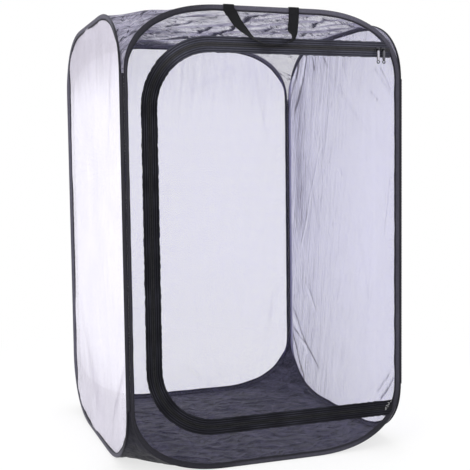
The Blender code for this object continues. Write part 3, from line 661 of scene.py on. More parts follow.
FOLD_INPUTS = ("Along", "Across", "Slant", "Width", "Gain")
GROUPS = {
    "net": new_group(open_weave, ("Pitch", "Thread"), ("Mask", "Height")),
    "tape": new_group(close_weave, ("Pitch",), ("Height", "Shade")),
    "tone": new_group(tone_drift, ("Amount",), ("Tone",)),
    "crease": new_group(crease_lines, FOLD_INPUTS[:4], ("Mask",)),
    "fold_light": new_group(fold_relief, FOLD_INPUTS, ("Shade",)),
}
LOOKS = {}


def use_group(tree, name, *values):
    """Place a shared group with its input values."""
    return shader_node(tree, "Group", values, node_tree=GROUPS[name])


def marked(tree):
    """The piece's own mark, from 0 to 1."""
    return shader_node(tree, "Attribute", attribute_name="fold")["Fac"]


def scaled(colour, factor):
    """A colour made darker, or lighter up to white."""
    return tuple(min(1.0, part * factor) for part in colour)


def new_look(name, slot):
    """A new material kept under its name with its slot. Gives its node tree."""
    material = bpy.data.materials.new(name)
    material.use_nodes = True
    LOOKS[name] = (material, slot)
    return material.node_tree


def finish_look(tree, colour, drift, height, depth, gloss, **inputs):
    """Feed the shader a base colour with a slow drift of tone, a height of some depth that
    turns its normal, its gloss and its other inputs, named with _ for each space."""
    tone = use_group(tree, "tone", drift)[0]
    inputs["Base_Color"] = shader_node(
        tree, "VectorMath", {0: colour, "Scale": tone}, operation="SCALE")[0]
    inputs["Normal"] = shader_node(tree, "Bump", {"Distance": depth, "Height": height})[0]
    inputs["Specular_IOR_Level"] = gloss
    for key, value in inputs.items():
        feed(tree, tree.nodes["Principled BSDF"].inputs[key.replace("_", " ")], value)


def netting(name, slot, colour, painted_shade_colour, cover, fold_cover, creases=(), painted_lights=()):
    """Fine netting that covers a share of its area with thread, and more, darker as painted shade,
    where it folds or is marked, along fine creases (scales, slant, width, strength) and on the
    dark side of painted light and shade on soft folds (scales, slant, step, gain)."""
    tree = new_look(name, slot)
    # The painted light and shade of soft folds is stronger where the piece is marked
    gathered = ranged(tree, marked(tree), 0.0, 0.3, 0.35, 1.0)
    fold = marked(tree)
    for *shape, strength in creases:
        fold = added(tree, fold, use_group(tree, "crease", *shape)[0], strength)
    for shape in painted_lights:
        fold = added(tree, fold, use_group(tree, "fold_light", *shape)[0], gathered)
    threads = (1 - sqrt(1 - part) for part in (cover, fold_cover))
    share = ranged(tree, fold, 0.0, 1.0, *threads)
    mask, height = use_group(tree, "net", NET_PITCH, share)
    # Painted shade: the second colour where the net is folded, marked or creased
    tone = mixed(tree, ranged(tree, fold, 0.0, 1.0), colour, painted_shade_colour)
    finish_look(tree, tone, 0.03, height, 0.0002, 0.1, Alpha=mask, Roughness=0.85)


def woven(name, slot, colour, pitch, roughness, sheen, depth=0.00012, bright=1.6, lift=None,
          gloss=0.12):
    """Close-woven tape or webbing, its marked parts painted lighter or darker by the lift, as
    painted highlight or painted shade.
    """
    tree = new_look(name, slot)
    height, shade = use_group(tree, "tape", pitch)
    tones = scaled(colour, 0.7), scaled(colour, bright)
    tone = mixed(tree, shade, *tones)
    if lift:
        painted_lit_or_shaded = mixed(tree, shade, *(scaled(part, lift) for part in tones))
        tone = mixed(tree, marked(tree), tone, painted_lit_or_shaded)
    finish_look(tree, tone, 0.1, height, depth, gloss, Roughness=roughness, Sheen_Weight=sheen,
                Sheen_Roughness=0.4)


def crinkled_cloth(name, slot, colour, roughness):
    """Thin coated cloth with many small crinkles and a faint plain weave, with painted light and
    shade on its crinkles and soft folds, painted highlights along fine creases, and painted shade
    where it is marked."""
    tree = new_look(name, slot)
    coarse = noise(tree, 22.0, 6.0)
    crinkle = added(tree, ranged(tree, coarse, 0.35, 0.65), noise(tree, 90.0, 5.0), 0.35)
    height = added(tree, crinkle, use_group(tree, "tape", 0.0008)[0], 0.06)
    # Painted light and shade: crinkle crests lighter, hollows darker
    tone = mixed(tree, ranged(tree, crinkle, 0.2, 1.1), scaled(colour, 0.65), scaled(colour, 1.5))
    # Painted highlights along fine creases
    for *shape, share in ((11.0, 14.0, 0.3, 0.016, 0.55), (26.0, 34.0, -0.4, 0.02, 0.4)):
        line = maths(tree, "MULTIPLY", use_group(tree, "crease", *shape)[0], share)
        tone = mixed(tree, line, tone, scaled(colour, 5.0))
    # Painted light and shade on the two sides of soft folds
    for shape in ((9.0, 14.0, 0.5, 0.12, 6.0), (20.0, 34.0, -0.3, 0.12, 5.0)):
        side = use_group(tree, "fold_light", *shape)[0]
        for end, share, factor in ((0.6, 0.9, 0.15), (-0.6, 0.7, 3.6)):
            tone = mixed(tree, ranged(tree, side, 0.0, end, 0.0, share), tone,
                         scaled(colour, factor))
    # Painted shade where the piece is marked
    shaded = tuple(np.multiply(colour, (0.25, 0.25, 0.36)))
    tone = mixed(tree, maths(tree, "MULTIPLY", marked(tree), 0.8), tone, shaded)
    rough = ranged(tree, coarse, 0.3, 0.7, roughness - 0.08, roughness + 0.1)
    finish_look(tree, tone, 0.08, height, 0.0022, 0.2, Roughness=rough, Sheen_Weight=0.04)


def hard(name, slot, colour, roughness, metallic, painted_highlight=None):
    """Plated metal or moulded plastic with fine grain and uneven gloss, and a lighter colour
    where it is marked, as a painted highlight."""
    tree = new_look(name, slot)
    tone = mixed(tree, marked(tree), colour, painted_highlight) if painted_highlight else colour
    rough = ranged(tree, noise(tree, 40.0, 4.0), 0.3, 0.7, roughness * 0.75, roughness * 1.35)
    finish_look(tree, tone, 0.06, noise(tree, 1200.0, 2.0), 0.00004, 0.2, Roughness=rough,
                Metallic=metallic)


# Painted light: the side nets are lit and shaded copies of one netting, the left near white as if
# lit, the front and right darker as painted shade, the back deep blue as painted light shining
# through; each second colour, the roof's too, is painted shade in folds and creases.
netting("front_net", "side_mesh", (0.30, 0.29, 0.52), (0.16, 0.15, 0.26), 0.07, 0.38,
        painted_lights=((45.0, 2.0, 0.05, 0.25, 0.9),))
netting("back_net", "side_mesh", (0.43, 0.38, 1.0), (0.36, 0.32, 0.78), 0.28, 0.43,
        painted_lights=((30.0, 2.0, 0.1, 0.2, 1.5), (70.0, 5.0, -0.2, 0.3, 0.8)))
netting("left_net", "side_mesh", (0.93, 0.905, 1.0), (0.60, 0.57, 0.66), 0.86, 0.93,
        painted_lights=((18.0, 2.0, 0.1, 0.2, 0.6),))
netting("right_net", "side_mesh", (0.61, 0.59, 0.95), (0.13, 0.12, 0.17), 0.50, 0.93,
        ((22.0, 4.0, 0.25, 0.006, 0.26), (12.0, 3.0, 0.35, 0.005, 0.22)),
        ((14.0, 1.6, 0.22, 0.10, 1.3), (90.0, 5.0, 0.14, 0.3, 1.1),
         (150.0, 9.0, 0.05, 0.3, 0.8), (45.0, 8.0, -0.45, 0.12, 0.9)))
netting("roof_net", "roof_mesh", (0.50, 0.48, 0.62), (0.035, 0.033, 0.05), 0.50, 0.98,
        ((9.0, 26.0, 0.5, 0.016, 0.6), (16.0, 50.0, 0.3, 0.02, 0.4),
         (30.0, 12.0, -0.4, 0.012, 0.5)),
        ((12.0, 50.0, 0.4, 0.5, 0.9), (40.0, 90.0, 0.4, 0.5, 0.9)))
# Marked binding takes painted shade (lift below one), marked zipper tape a painted highlight (lift
# above one)
woven("binding_tape", "binding", (0.098, 0.094, 0.125), 0.0011, 0.7, 0.05, lift=0.22)
woven("zipper_tape", "zip_tape", (0.006, 0.006, 0.008), 0.0009, 0.75, 0.0, lift=11.0,
      gloss=0.05)
woven("handle_webbing", "webbing", (0.010, 0.010, 0.012), 0.0016, 0.75, 0.03, 0.0003)
woven("dark_thread", "binding", (0.03, 0.029, 0.04), 0.0006, 0.8, 0.0)
woven("white_thread", "thread", (0.75, 0.75, 0.76), 0.0006, 0.7, 0.3, 0.0001, 1.1)
crinkled_cloth("floor_cloth", "floor_cloth", (0.023, 0.0215, 0.033), 0.6)
# The second colours of the coil and the plating are painted highlights
hard("coil_nylon", "zip_teeth", (0.017, 0.017, 0.020), 0.6, 0.0, (0.048, 0.046, 0.050))
hard("dark_nickel", "zinc_pull", (0.035, 0.035, 0.04), 0.2, 1.0, (0.62, 0.60, 0.68))
hard("spring_steel", None, (0.42, 0.42, 0.44), 0.32, 1.0)


def tape_shade(panel, along, up):
    """Painted shade on the tape by its place round the hoop: its lower run, the runs beside
    the front corners, and the right hoop's top."""
    low = 0.6 * smooth(up, 0.16, 0.03)
    if panel is FRONT:
        return 0.9 * smooth(-along, 0.03, 0.20) + 0.5 * smooth(along, 0.15, 0.28) + low
    if panel is LEFT:
        return 0.9 * smooth(along, 0.22, 0.28)
    return low + 0.55 * smooth(up, 0.80, 0.87) if panel is RIGHT else low


def make_binding(panel):
    """Tape folded over the hoop wire and the netting's edge, carried once round the hoop, its
    inner edge wandering by a fraction of a millimetre. Painted shade darkens it along its edges,
    in the cleft where it leans, and by its place round the hoop."""
    spots, normals, run = hoop_outline(panel.half)
    outer = np.array(BAND_SECTION)
    side = np.vstack([outer[1:], (BAND_WIDTH, MOUTH_HALF), (NET_INSET, MOUTH_HALF)])
    inset, out = np.vstack([outer[:1], side, side[::-1] * (1, -1)]).T
    wobble = EDGE_WOBBLE * ripples(run, 0.0, 0.05, len(panel.name))[:, None]
    section = spots_of(inset + wobble * smooth(inset, *WOBBLE_FADE), out)
    points = leaned(panel, spots, normals, section)
    # Painted shade along the tape's inner edge and its outer fold, and in the cleft where the
    # upright runs lean
    edge = smooth(inset, 0.0070, 0.0105) + 0.6 * smooth(inset, 0.0022, 0.0)
    lean = lean_at(spots[:, 1:]) * np.abs(normals[:, :1]) / radians(TAPE_LEAN)
    mark = edge + 1.3 * smooth(-out, -0.0004, 0.0004) * lean
    # Painted shade by the place round the hoop
    mark = mark + tape_shade(panel, spots[:, :1], spots[:, 1:])
    part = patch(points, around=True, closed=True, fold=np.clip(mark, 0.0, 1.0))
    flatten(make(panel.name + "_folded_tape", [part], "binding_tape", panel.body,
                 panel.name + "_binding"))
    make_band_stitches(panel)


def make_band_stitches(panel):
    """Row of stitches along the inner edge of the binding, on both faces."""
    spots, normals, run = hoop_outline(panel.half)
    spots, normals = resampled(evenly(run[-1], STITCH_PITCH)[:-1], run, spots, normals)
    level = STITCH_GROOVE[1] + STITCH_SIZE[2] / 2
    parts = []
    for out in (level, -level):
        section = np.array([(STITCH_GROOVE[0], out), (BAND_WIDTH, out)])
        centres, further = leaned(panel, spots, normals, section).transpose(1, 0, 2)
        ahead, inward = unit(np.gradient(centres, axis=0)), unit(further - centres)
        parts.append(bars(centres, ahead, inward, np.cross(ahead, inward), STITCH_SIZE))
    flatten(make(panel.name + "_tape_stitches", parts, "dark_thread", panel.body))


def net_wave(along, up, lines, seed, waves):
    """A net's height by its slow hollows, small waves and listed folds, and the shares of
    the small waves and of the folds."""
    lined = line_folds(along, up, lines)
    slow, small = (ripples(along, up * squeeze, spacing, seed + k)
                   for k, (squeeze, spacing, _) in enumerate(waves[:2]))
    return waves[0][2] * slow + waves[1][2] * small + waves[2] * lined, small, lined


def sheet_area(parts):
    """Flat area of a cut from its cloth coordinates, by the shoelace rule on each quad."""
    total = 0.0
    for part in parts:
        x, y = part[2].reshape(-1, 4, 2).transpose(2, 0, 1)
        total += abs(np.sum(x * np.roll(y, -1, axis=1) - y * np.roll(x, -1, axis=1))) / 2
    return float(total)


def add_net(name, node, panel, body, look, along, up, out, fold):
    """A stretched net on a panel, with its own copy of its mesh when it rides on the panel's body.
    """
    along, up = np.broadcast_arrays(along, up)
    part = patch(panel.place(along, up, out), cloth=spots_of(along, up), fold=fold)
    piece = make(name, [part], look, body, node)
    sheet_area([part])
    if body == panel.body:
        flatten(piece)


def make_net(panel, lines, grid, drift, seed, shade):
    """Netting of a side in its hoop: slow hollows, listed folds and sewn-edge puckers, all
    square to the panel. It is painted denser and darker as painted shade by three shares
    towards its right-hand end, its top and its bottom."""
    up = NET_INSET + (HEIGHT - 2 * NET_INSET) * eased(grid[0])
    along = hoop_x(panel.half, up) * np.linspace(-1.0, 1.0, grid[1])
    away = np.minimum(hoop_x(panel.half, up) - np.abs(along), from_end(up))
    calm = smooth(away, 0.0, NET_CALM)
    wave, small, lined = net_wave(along, up, lines, seed, SIDE_WAVES)
    gathers = np.sin((along + up) / PUCKER_LENGTH + 2 * ripples(along, up, 0.12, 5))
    gathers = gathers * smooth(away, 0.0, PUCKER_RISE) * np.exp(-away / PUCKER_FADE)
    out = calm * wave + PUCKER_HEIGHT * gathers + lean_out(panel.half, along, up, SIDE_SETTLE)
    # Painted shade: the net drawn denser and darker towards its right-hand end, top and bottom;
    # the crests of the small waves add a little more
    painted_panel_shade = (shade[0] * smooth(along, -0.25, 0.30) + shade[1] * smooth(up, 0.70, 0.86)
             + shade[2] * smooth(up, 0.26, 0.10))
    fold = np.clip(lined + painted_panel_shade + drift * np.clip(small, 0.0, 1.0) * calm, 0.0, 1.0)
    name = panel.name
    add_net(name + "_netting", name + "_mesh", panel, panel.body, name + "_net", along, up, out,
            fold)


def gathered_sheet(push, height_of, flip):
    """Roof or floor as one cut: a level octagon and four ears that drop in straight rows to
    the corner seams. Push gives the lift and the mark of folds and painted shade from the cloth's
    flat coordinates and the distance to the nearest sewn edge; the height comes from the depth
    below the hoops."""
    arc, normal = corner_arc(SHEET_INSET)
    run = run_of(arc)
    even = np.linspace(0.0, run[-1], EAR_STEPS + 1)
    arc, normal = resampled(even, run, arc, normal)
    across, drop, level, plumb = (part[:, None] for part in (*arc.T, *normal.T))
    reach, left = arc[-1, 0], (run[-1] - even)[:, None]
    side_x, side_y = HALF_X - SHEET_GAP, HALF_Y - SHEET_GAP
    straight_x, straight_y = HALF_X - SEAM_GAP - reach, HALF_Y - SEAM_GAP - reach
    climb = np.linspace(0.0, reach, EAR_COLUMNS + 1) * (side_y - straight_y) / reach
    rows = np.concatenate([
        climb - side_y, np.linspace(-straight_y, straight_y, RUN_STEPS + 1)[1:-1],
        (side_y - climb)[::-1],
    ])[:, None]
    inner = np.clip((side_y - np.abs(rows)) / (side_y - straight_y), 0.0, 1.0)
    half = straight_x + (side_x - straight_x) * inner
    x = half * np.linspace(-1.0, 1.0, 2 * EAR_COLUMNS + RUN_STEPS + 1)
    y = np.broadcast_to(rows, x.shape)
    lift, fold = push(x, y, np.minimum(side_x - np.abs(x), side_y - np.abs(y)))
    points = spots_of(x, y + CAGE_Y, height_of(arc[-1, 1] - lift))
    parts = [patch(points, cloth=spots_of(x, y), fold=fold, flip=flip)]
    share = np.linspace(0.0, 1.0, EAR_COLUMNS + 1)[None, :]
    slant = 1 / sqrt(2)
    gone = [(SEAM_GAP + across) * (1 - part) + SHEET_GAP * part for part in (share, 1 - share)]
    flat = [side - part + part.mean(axis=1, keepdims=True) - part[-1].mean() + left * slant
            for side, part in zip((HALF_X, HALF_Y), gone)]
    near = across * np.minimum(share, 1 - share)
    for sx, sy in ((-1, -1), (1, -1), (1, 1), (-1, 1)):
        cloth = spots_of(sx * flat[0], sy * flat[1])
        lift, fold = push(cloth[..., 0], cloth[..., 1], near)
        spread = lift * level * slant
        points = spots_of(sx * (HALF_X - gone[0] + spread),
                          sy * (HALF_Y - gone[1] + spread) + CAGE_Y,
                          height_of(drop - lift * plumb))
        parts.append(patch(points, cloth=cloth, fold=fold, flip=(sx * sy > 0) != flip))
    return parts


def make_sheet(name, look, node, push, height_of, flip):
    """Roof or floor, gathered to the hoops' runs, its parts welded along their edges."""
    parts = gathered_sheet(push, height_of, flip)
    piece = make(name, parts, look, "root", node)
    work = bmesh.new()
    work.from_mesh(piece.data)
    bmesh.ops.remove_doubles(work, verts=work.verts, dist=WELD_GAP)
    work.to_mesh(piece.data)
    work.free()
    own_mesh(piece)
    sheet_area(parts)


def roof_push(x, y, away):
    """Roof netting: long folds from side to side, slanting up to the right, over slow hollows,
    and fans of creases at the corners. Its mark, denser and darker netting, is painted shade along
    the folds and creases and in some regions, heavier by the sewn edges and lighter towards the
    back right."""
    slanted = y + ROOF_SLANT * x
    long_folds = ripples(x, slanted, 0.075, 21, stretch=3.5)
    short = ripples(x, slanted, 0.03, 22, stretch=2.5)
    chosen = line_folds(x, y, ROOF_FOLDS)
    lines = sharp_folds(x, slanted, 0.12, 23, 3.0)
    high, low, fold, slack = ROOF_LIFTS
    lift = high * long_folds + low * short - fold * chosen - slack
    # Painted shade: darker towards the back left, the front left corner and the left middle,
    # lighter towards the back right, and heavier by the sewn edges
    sewn = 0.62 * smooth(y, 0.17, 0.24) * smooth(x, 0.10, 0.02) + 0.2 * smooth(away, 0.03, 0.0)
    sewn = sewn + 0.16 * smooth(-x - y, 0.38, 0.50) - 0.6 * smooth(x + y, 0.34, 0.44)
    sewn = sewn + 0.22 * smooth(-x, 0.06, 0.14) * smooth(y, -0.06, 0.02) * smooth(y, 0.24, 0.18)
    # Painted shade along the long and short folds, the sharp creases and the chosen folds
    tone = 0.20 + 0.10 * long_folds + 0.08 * short + 0.22 * lines + chosen + sewn
    return smooth(away, 0.0, ROOF_CALM) * lift, np.clip(tone, 0.0, 1.0)


def floor_push(x, y, away):
    """Floor cloth: small crinkles over the table, and slack folds up the corners, of which the
    front left one is marked for painted shade."""
    crinkle = sharp_folds(x, y, 0.09, 31, 1.8) + 0.7 * sharp_folds(x, y, 0.05, 32, 2.2)
    lift = FLOOR_LIFTS[0] * crinkle + FLOOR_LIFTS[1] * (1 + ripples(x, y, 0.16, 33))
    return -smooth(away, 0.0, FLOOR_CALM) * lift, smooth(-x - y, 0.34, 0.44)


def zip_route(offset, top_end, bottom_end):
    """The zipper's path moved out by an offset: a C open to the right, evenly spaced, as
    places along the front panel and up, with its outward normal in the plane."""
    turn = np.linspace(0.5 * pi, pi, 33)
    bend = (ZIP_CORNER_RADIUS + offset) * spots_of(np.cos(turn), np.sin(turn))
    centre = ZIP_LEFT + ZIP_CORNER_RADIUS
    line = np.vstack([
        (top_end, ZIP_TOP + offset),
        bend + (centre, ZIP_TOP - ZIP_CORNER_RADIUS),
        bend[::-1] * (1, -1) + (centre, ZIP_BOTTOM + ZIP_CORNER_RADIUS),
        (bottom_end, ZIP_BOTTOM - offset),
    ])
    run = run_of(line)
    line = resampled(evenly(run[-1], ZIP_STEP), run, line)[0]
    return line, unit(np.gradient(line, axis=0))[:, ::-1] * (1, -1)


def tape_part(line, outward, sign):
    """Zipper tape: ribs and a turned hem on both faces, carried along the path. Its rib tops take
    a painted highlight in patches, and the whole tape more of it towards the top."""
    x, up = line.T
    section = np.array(TAPE_SECTION)
    section = np.vstack([section, section[::-1] * (1, -1)]) * (sign, 1)
    across = FRONT.turn_in(*outward.T)
    points = carried(section, FRONT.place(x, up, 0.0), across, FRONT.outward)
    hem = smooth(np.abs(section[:, :1]), HEM_START, TAPE_OUT)
    points = points + FRAY * (ripples(x, up, 0.011, 61)[:, None] * across)[:, None] * hem
    high = smooth(up, *HIGHLIGHT_FROM)[:, None]
    painted_highlight = (0.75 + 0.35 * ripples(x, up, 0.05, 62))[:, None] * (0.3 + 0.6 * high)
    mark = smooth(np.abs(section[:, 1]), 0.0006, 0.0010) * painted_highlight + 0.35 * high
    return patch(points, around=True, caps=True, fold=np.clip(mark, 0.0, 1.0), flip=sign < 0)


def teeth_part(line, outward, sign, phase):
    """Nylon coil: a row of small rounded turns along one side of the chain."""
    run = run_of(line)
    spots = np.arange(phase * TEETH_PITCH + TEETH_LENGTH / 4, run[-1], TEETH_PITCH)
    place, way = resampled(spots, run, line, outward)
    way = unit(way)
    place = place + way * sign * (TEETH_IN + TEETH_OUT) / 2
    across = FRONT.turn_in(*way.T)
    size = (TEETH_OUT - TEETH_IN + TEETH_LAP, TEETH_PITCH * 0.6, TEETH_HEIGHT)
    points, faces, coords, _ = bars(
        FRONT.place(*place.T, 0.0), across, np.cross(FRONT.outward, across), FRONT.outward,
        size, 6, TEETH_STATIONS)
    # Mark: painted highlight towards the top
    return points, faces, coords, smooth(points[:, 2], *HIGHLIGHT_FROM)


def make_zipper():
    """Both tapes and chains, split at the door's fold line: tapes outside the zipper, on the
    door, and from the fold line to the binding above and below."""
    ends = [float(hoop_x(FRONT.half, level)) for level in (ZIP_TOP, ZIP_BOTTOM)]
    lengths = [("zipper_outer", "front_side", zip_route(0.0, *ends), 1, 0.0),
               ("door", "door", zip_route(0.0, DOOR_END, DOOR_END), -1, 0.5)]
    for word, level, end, way in (("upper", ZIP_TOP, ends[0], 1.0),
                                  ("lower", ZIP_BOTTOM, ends[1], -1.0)):
        middle = (DOOR_END + STRIP_START) / 4 + end / 2
        route = spots_of((STRIP_START, middle, end), level), np.array([[0.0, way]] * 3)
        lengths.append((f"zipper_{word}_end", "front_side", route, -1, 0.5))
    for name, body, route, sign, phase in lengths:
        make(name + "_ribbon", [tape_part(*route, sign)], "zipper_tape", body, name + "_tape")
        make(name + "_coil", [teeth_part(*route, sign, phase)], "coil_nylon", body,
             name + "_teeth")


def add_front_net(name, node, body, along, up, lines, seed):
    """One four-sided piece of front netting, calm along its sewn edges."""
    away = np.minimum(np.minimum(along - along[:, :1], along[:, -1:] - along),
                      np.minimum(up - up[0], up[-1] - up))
    wave, _, lined = net_wave(along, up, lines, seed, FRONT_WAVES)
    out = smooth(away, 0.0, NET_CALM) * wave
    if body == FRONT.body:
        out = out + lean_out(FRONT.half, along, up, FRONT_SETTLE)
    add_net(name, node, FRONT, body, "front_net", along, up, out, np.clip(lined, 0.0, 1.0))


def make_front_nets():
    """Netting beside the door's fold line and on the door, in straight rows between the lines
    that bound it."""
    reach = TAPE_OUT - TAPE_LAP
    tall = ZIP_TOP - ZIP_BOTTOM - 2 * reach
    rows, columns = (np.linspace(0.0, 1.0, count) for count in STRIP_GRID)
    up = ZIP_BOTTOM + reach + tall * rows[:, None]
    along = STRIP_START + (hoop_x(FRONT.half, up) - STRIP_START) * columns
    add_front_net("hinge_strip_netting", "front_hinge_strip", "front_side", along, up,
                  FRONT_FOLDS, 41)
    fold_x = (DOOR_END + STRIP_START) / 2
    curve = zip_route(-reach, fold_x, fold_x)[0]
    curve = curve[np.argsort(curve[:, 1], kind="stable")]
    curve = curve[curve[:, 0] < ZIP_LEFT + ZIP_CORNER_RADIUS + ZIP_STEP]
    up = ZIP_BOTTOM + reach + tall * eased(DOOR_GRID[0])
    left = np.interp(up, curve[:, 1], curve[:, 0])
    along = left + (DOOR_END - left) * np.linspace(0.0, 1.0, DOOR_GRID[1])
    add_front_net("door_netting", "door_mesh", "door", along, up, DOOR_FOLDS, 43)


def make_surround():
    """Netting between the hoop and the zipper: straight lines joining the two outlines at
    the same angle about the panel's middle."""
    reach = TAPE_OUT - TAPE_LAP
    middle = np.array([0.0, HEIGHT / 2])
    ends = [float(hoop_x(FRONT.half, z)) for z in (ZIP_TOP + reach, ZIP_BOTTOM - reach)]
    inner = zip_route(reach, *ends)[0] - middle
    spots, normals, _ = hoop_outline(FRONT.half)
    outer = spots + normals * NET_INSET - middle
    angle, turn = (np.arctan2(*line.T[::-1]) % (2 * pi) for line in (outer, inner))
    order = np.argsort(angle)
    far = np.interp(turn, angle[order], np.linalg.norm(outer, axis=1)[order], period=2 * pi)
    outer = far[:, None] * spots_of(np.cos(turn), np.sin(turn))
    share = np.linspace(0.0, 1.0, SURROUND_COLUMNS)
    cloth = spots_of(*(inner[:, k, None] * share + outer[:, k, None] * (1 - share) + middle[k]
                       for k in (0, 1)))
    along, up = cloth[..., 0], cloth[..., 1]
    calm = np.sin(pi * share) * smooth(np.abs(turn[:, None] - pi), 2.6, 2.2)
    wave, _, lined = net_wave(along, up, FRONT_FOLDS, 45, FRONT_WAVES)
    lean = lean_out(FRONT.half, along, up, SURROUND_SETTLE)
    out = calm * wave + lean * smooth(share, 1.0, 0.6)
    add_net("front_surround_netting", "front_surround_mesh", FRONT, "front_side", "front_net",
            along, up, out, np.clip(lined, 0.0, 1.0))


def make_seams():
    """Corner seams: round cord whipped with thread, its radius a spiral ripple."""
    for name, body in (("back_left", "root"), ("back_right", "root"),
                       ("front_left", "left_side"), ("front_right", "right_side")):
        low, high = box(name + "_seam")
        x, y, _ = (low + high) / 2
        turn = circle(12)[None, :]
        up = np.linspace(low[2] - SEAM_RUN_ON, high[2] + SEAM_RUN_ON, SEAM_ROWS)[:, None]
        ripple = 0.95 + 0.05 * np.sin(2 * pi * up / SEAM_WHIPPING + turn)
        wide = SEAM_SWELL * (high[0] - low[0]) / 2 * ripple
        points = spots_of(x + wide * np.cos(turn), y + wide * np.sin(turn), up)
        # Painted shade: a mark of one gives the cord the binding's darkest tone
        make(name + "_corner_seam", [patch(points, around=True, caps=True, fold=1.0)],
             "binding_tape", body, name + "_seam")


def superbox(centre, size, power):
    """Rounded block: a superellipsoid, whose coordinates are signed powers of sines and
    cosines of two angles, closed at both poles. Its size is its length, height and depth."""
    rise = np.linspace(-pi / 2, pi / 2, BLOCK_STEPS + 1)[:, None]
    turn = circle(2 * BLOCK_STEPS)[None, :]
    wide = signed_power(np.cos(rise), power)
    points = spots_of(wide * signed_power(np.cos(turn), power) * size[0] / 2,
                      signed_power(np.sin(rise), power) * size[2] / 2,
                      wide * signed_power(np.sin(turn), power) * size[1] / 2)
    return patch(centre + points, around=True, caps=True)


def bent_tube(line, radius, flat=1.0, closed=False):
    """Round or oval bar along a line of points, in the plane that the line lies in."""
    ahead = np.gradient(line, axis=0)
    if closed:
        ahead = np.roll(line, -1, axis=0) - np.roll(line, 1, axis=0)
    normal = np.linalg.svd(line - line.mean(axis=0))[2][2]
    turn = circle(10)
    section = spots_of(np.cos(turn) * radius, np.sin(turn) * radius * flat)
    points = carried(section, line, np.cross(unit(ahead), normal), normal)
    return patch(points, around=True, closed=closed, caps=not closed)


def make_slider(word):
    """Slider: two rounded plates joined by a post, and a bridge that carries the pull."""
    low, high = box(word + "_slider")
    x, _, z = (low + high) / 2
    face = FRONT.middle[1]
    staple = box(word + "_pull_tab").mean(axis=0)[1]
    size = (high[0] - low[0], high[2] - low[2], PLATE_THICK)
    parts = [superbox((x, face + side * PLATE_OUT, z), size, PLATE_POWER) for side in (-1, 1)]
    parts.append(superbox((low[0] + POST_IN, face, z), POST_SIZE, POST_POWER))
    turn = np.linspace(0.0, pi, 25)
    foot = face - STAPLE_FOOT
    arch = spots_of(x - STAPLE_HALF * signed_power(np.cos(turn), 0.6),
                    foot - (foot - staple) * np.sin(turn) ** 0.6, z)
    parts.append(bent_tube(arch, STAPLE_WIRE))
    make(word + "_slider_casting", parts, "dark_nickel", word + "_slider", word + "_slider")
    make_pull(word, staple, z)


def make_pull(word, staple, pivot_z):
    """Pull tab hanging from the bridge: an eye, a waisted stem that is a rounded square cut
    across, with a painted highlight on its face, and a ring."""
    low, high = box(word + "_pull_tab")
    x = (low[0] + high[0]) / 2
    ring_z = low[2] + RING_RADIUS + RING_LIFT
    turn = circle(36)
    ring = spots_of(x + RING_RADIUS * np.sin(turn), staple, ring_z + RING_RADIUS * np.cos(turn))
    eye = spots_of(x, staple + EYE_RADIUS * np.sin(turn), pivot_z + EYE_RADIUS * np.cos(turn))
    top = pivot_z - EYE_RADIUS + STEM_LAPS[0]
    bottom = ring_z + RING_RADIUS - STEM_LAPS[1]
    share = np.linspace(0.0, 1.0, 40)[:, None]
    wide = smooth(share, 0.0, 0.15) * smooth(share, 1.0, 0.85)
    waist = PULL_HALF_WIDTH * (PULL_WAIST + (1 - PULL_WAIST) * wide)
    corner = circle(16)[None, :]
    bend_x, bend_y = (signed_power(part, 0.5) for part in (np.cos(corner), np.sin(corner)))
    stem = spots_of(x + waist * bend_x, staple + STEM_THICK * bend_y,
                    top + (bottom - top) * share)
    # Painted highlight on the middle of the stem's face, strong on the first pull and faint on the
    # second
    face = smooth(-bend_y, 0.5, 1.0) * smooth(np.abs(bend_x), 0.95, 0.6)
    painted_highlight = PULL_HIGHLIGHT[word] * face * smooth(share, 0.0, 0.1)
    parts = [bent_tube(ring, *RING_WIRE, closed=True), bent_tube(eye, *EYE_WIRE, closed=True),
             patch(stem, around=True, caps=True, flip=True, fold=painted_highlight)]
    make(word + "_pull", parts, "dark_nickel", word + "_pull", word + "_pull_tab")


def make_bartack():
    """Bar of white thread at the lower end of the zipper: loose whiskers along a slanting
    line beside the binding."""
    turn = np.arange(WHISKERS) * WHISKER_TURN
    across = np.linspace(*WHISKER_DRIFT, WHISKERS) + WHISKER_SPREAD * np.sin(turn + 1.0)
    centres = box("zipper_end_bartack").mean(axis=0) + spots_of(
        across, 0.0, np.linspace(*WHISKER_CLIMB, WHISKERS))
    slope = WHISKER_SLOPES[0] + WHISKER_SLOPES[1] * np.sin(turn)
    ahead = spots_of(np.cos(slope), 0.0, np.sin(slope))
    part = bars(centres, ahead, np.cross(FRONT.outward, ahead), FRONT.outward, WHISKER_SIZE)
    make("zipper_end_stitches", [part], "white_thread", "front_side", "zipper_end_bartack")


def add_strap(name, node, body, route, ahead, across):
    """Webbing along a route: cut across it is a superellipse, with flat faces and rounded
    selvedges."""
    turn = circle(24)
    flat, round_edge = STRAP_POWERS
    section = spots_of(signed_power(np.cos(turn), flat) * STRAP_WIDTH / 2,
                       signed_power(np.sin(turn), round_edge) * STRAP_THICK / 2)
    points = carried(section, route, across, np.cross(across, ahead))
    make(name, [patch(points, around=True, caps=True)], "handle_webbing", body, node)


def handle_path(share):
    """Place along the handle's listed shares of span and drop, by a cubic through each four
    of them."""
    spots = np.array(HANDLE_PATH_SHARES)
    last = len(spots) - 1
    k = np.minimum((share * last).astype(int), last - 1)
    t = (share * last - k)[:, None]
    a, b, c, d = (spots[np.clip(k + step, 0, last)] for step in (-1, 0, 1, 2))
    return (2 * b + (c - a) * t + (2 * a - 5 * b + 4 * c - d) * t ** 2
            + (3 * b - a - 3 * c + d) * t ** 3) / 2


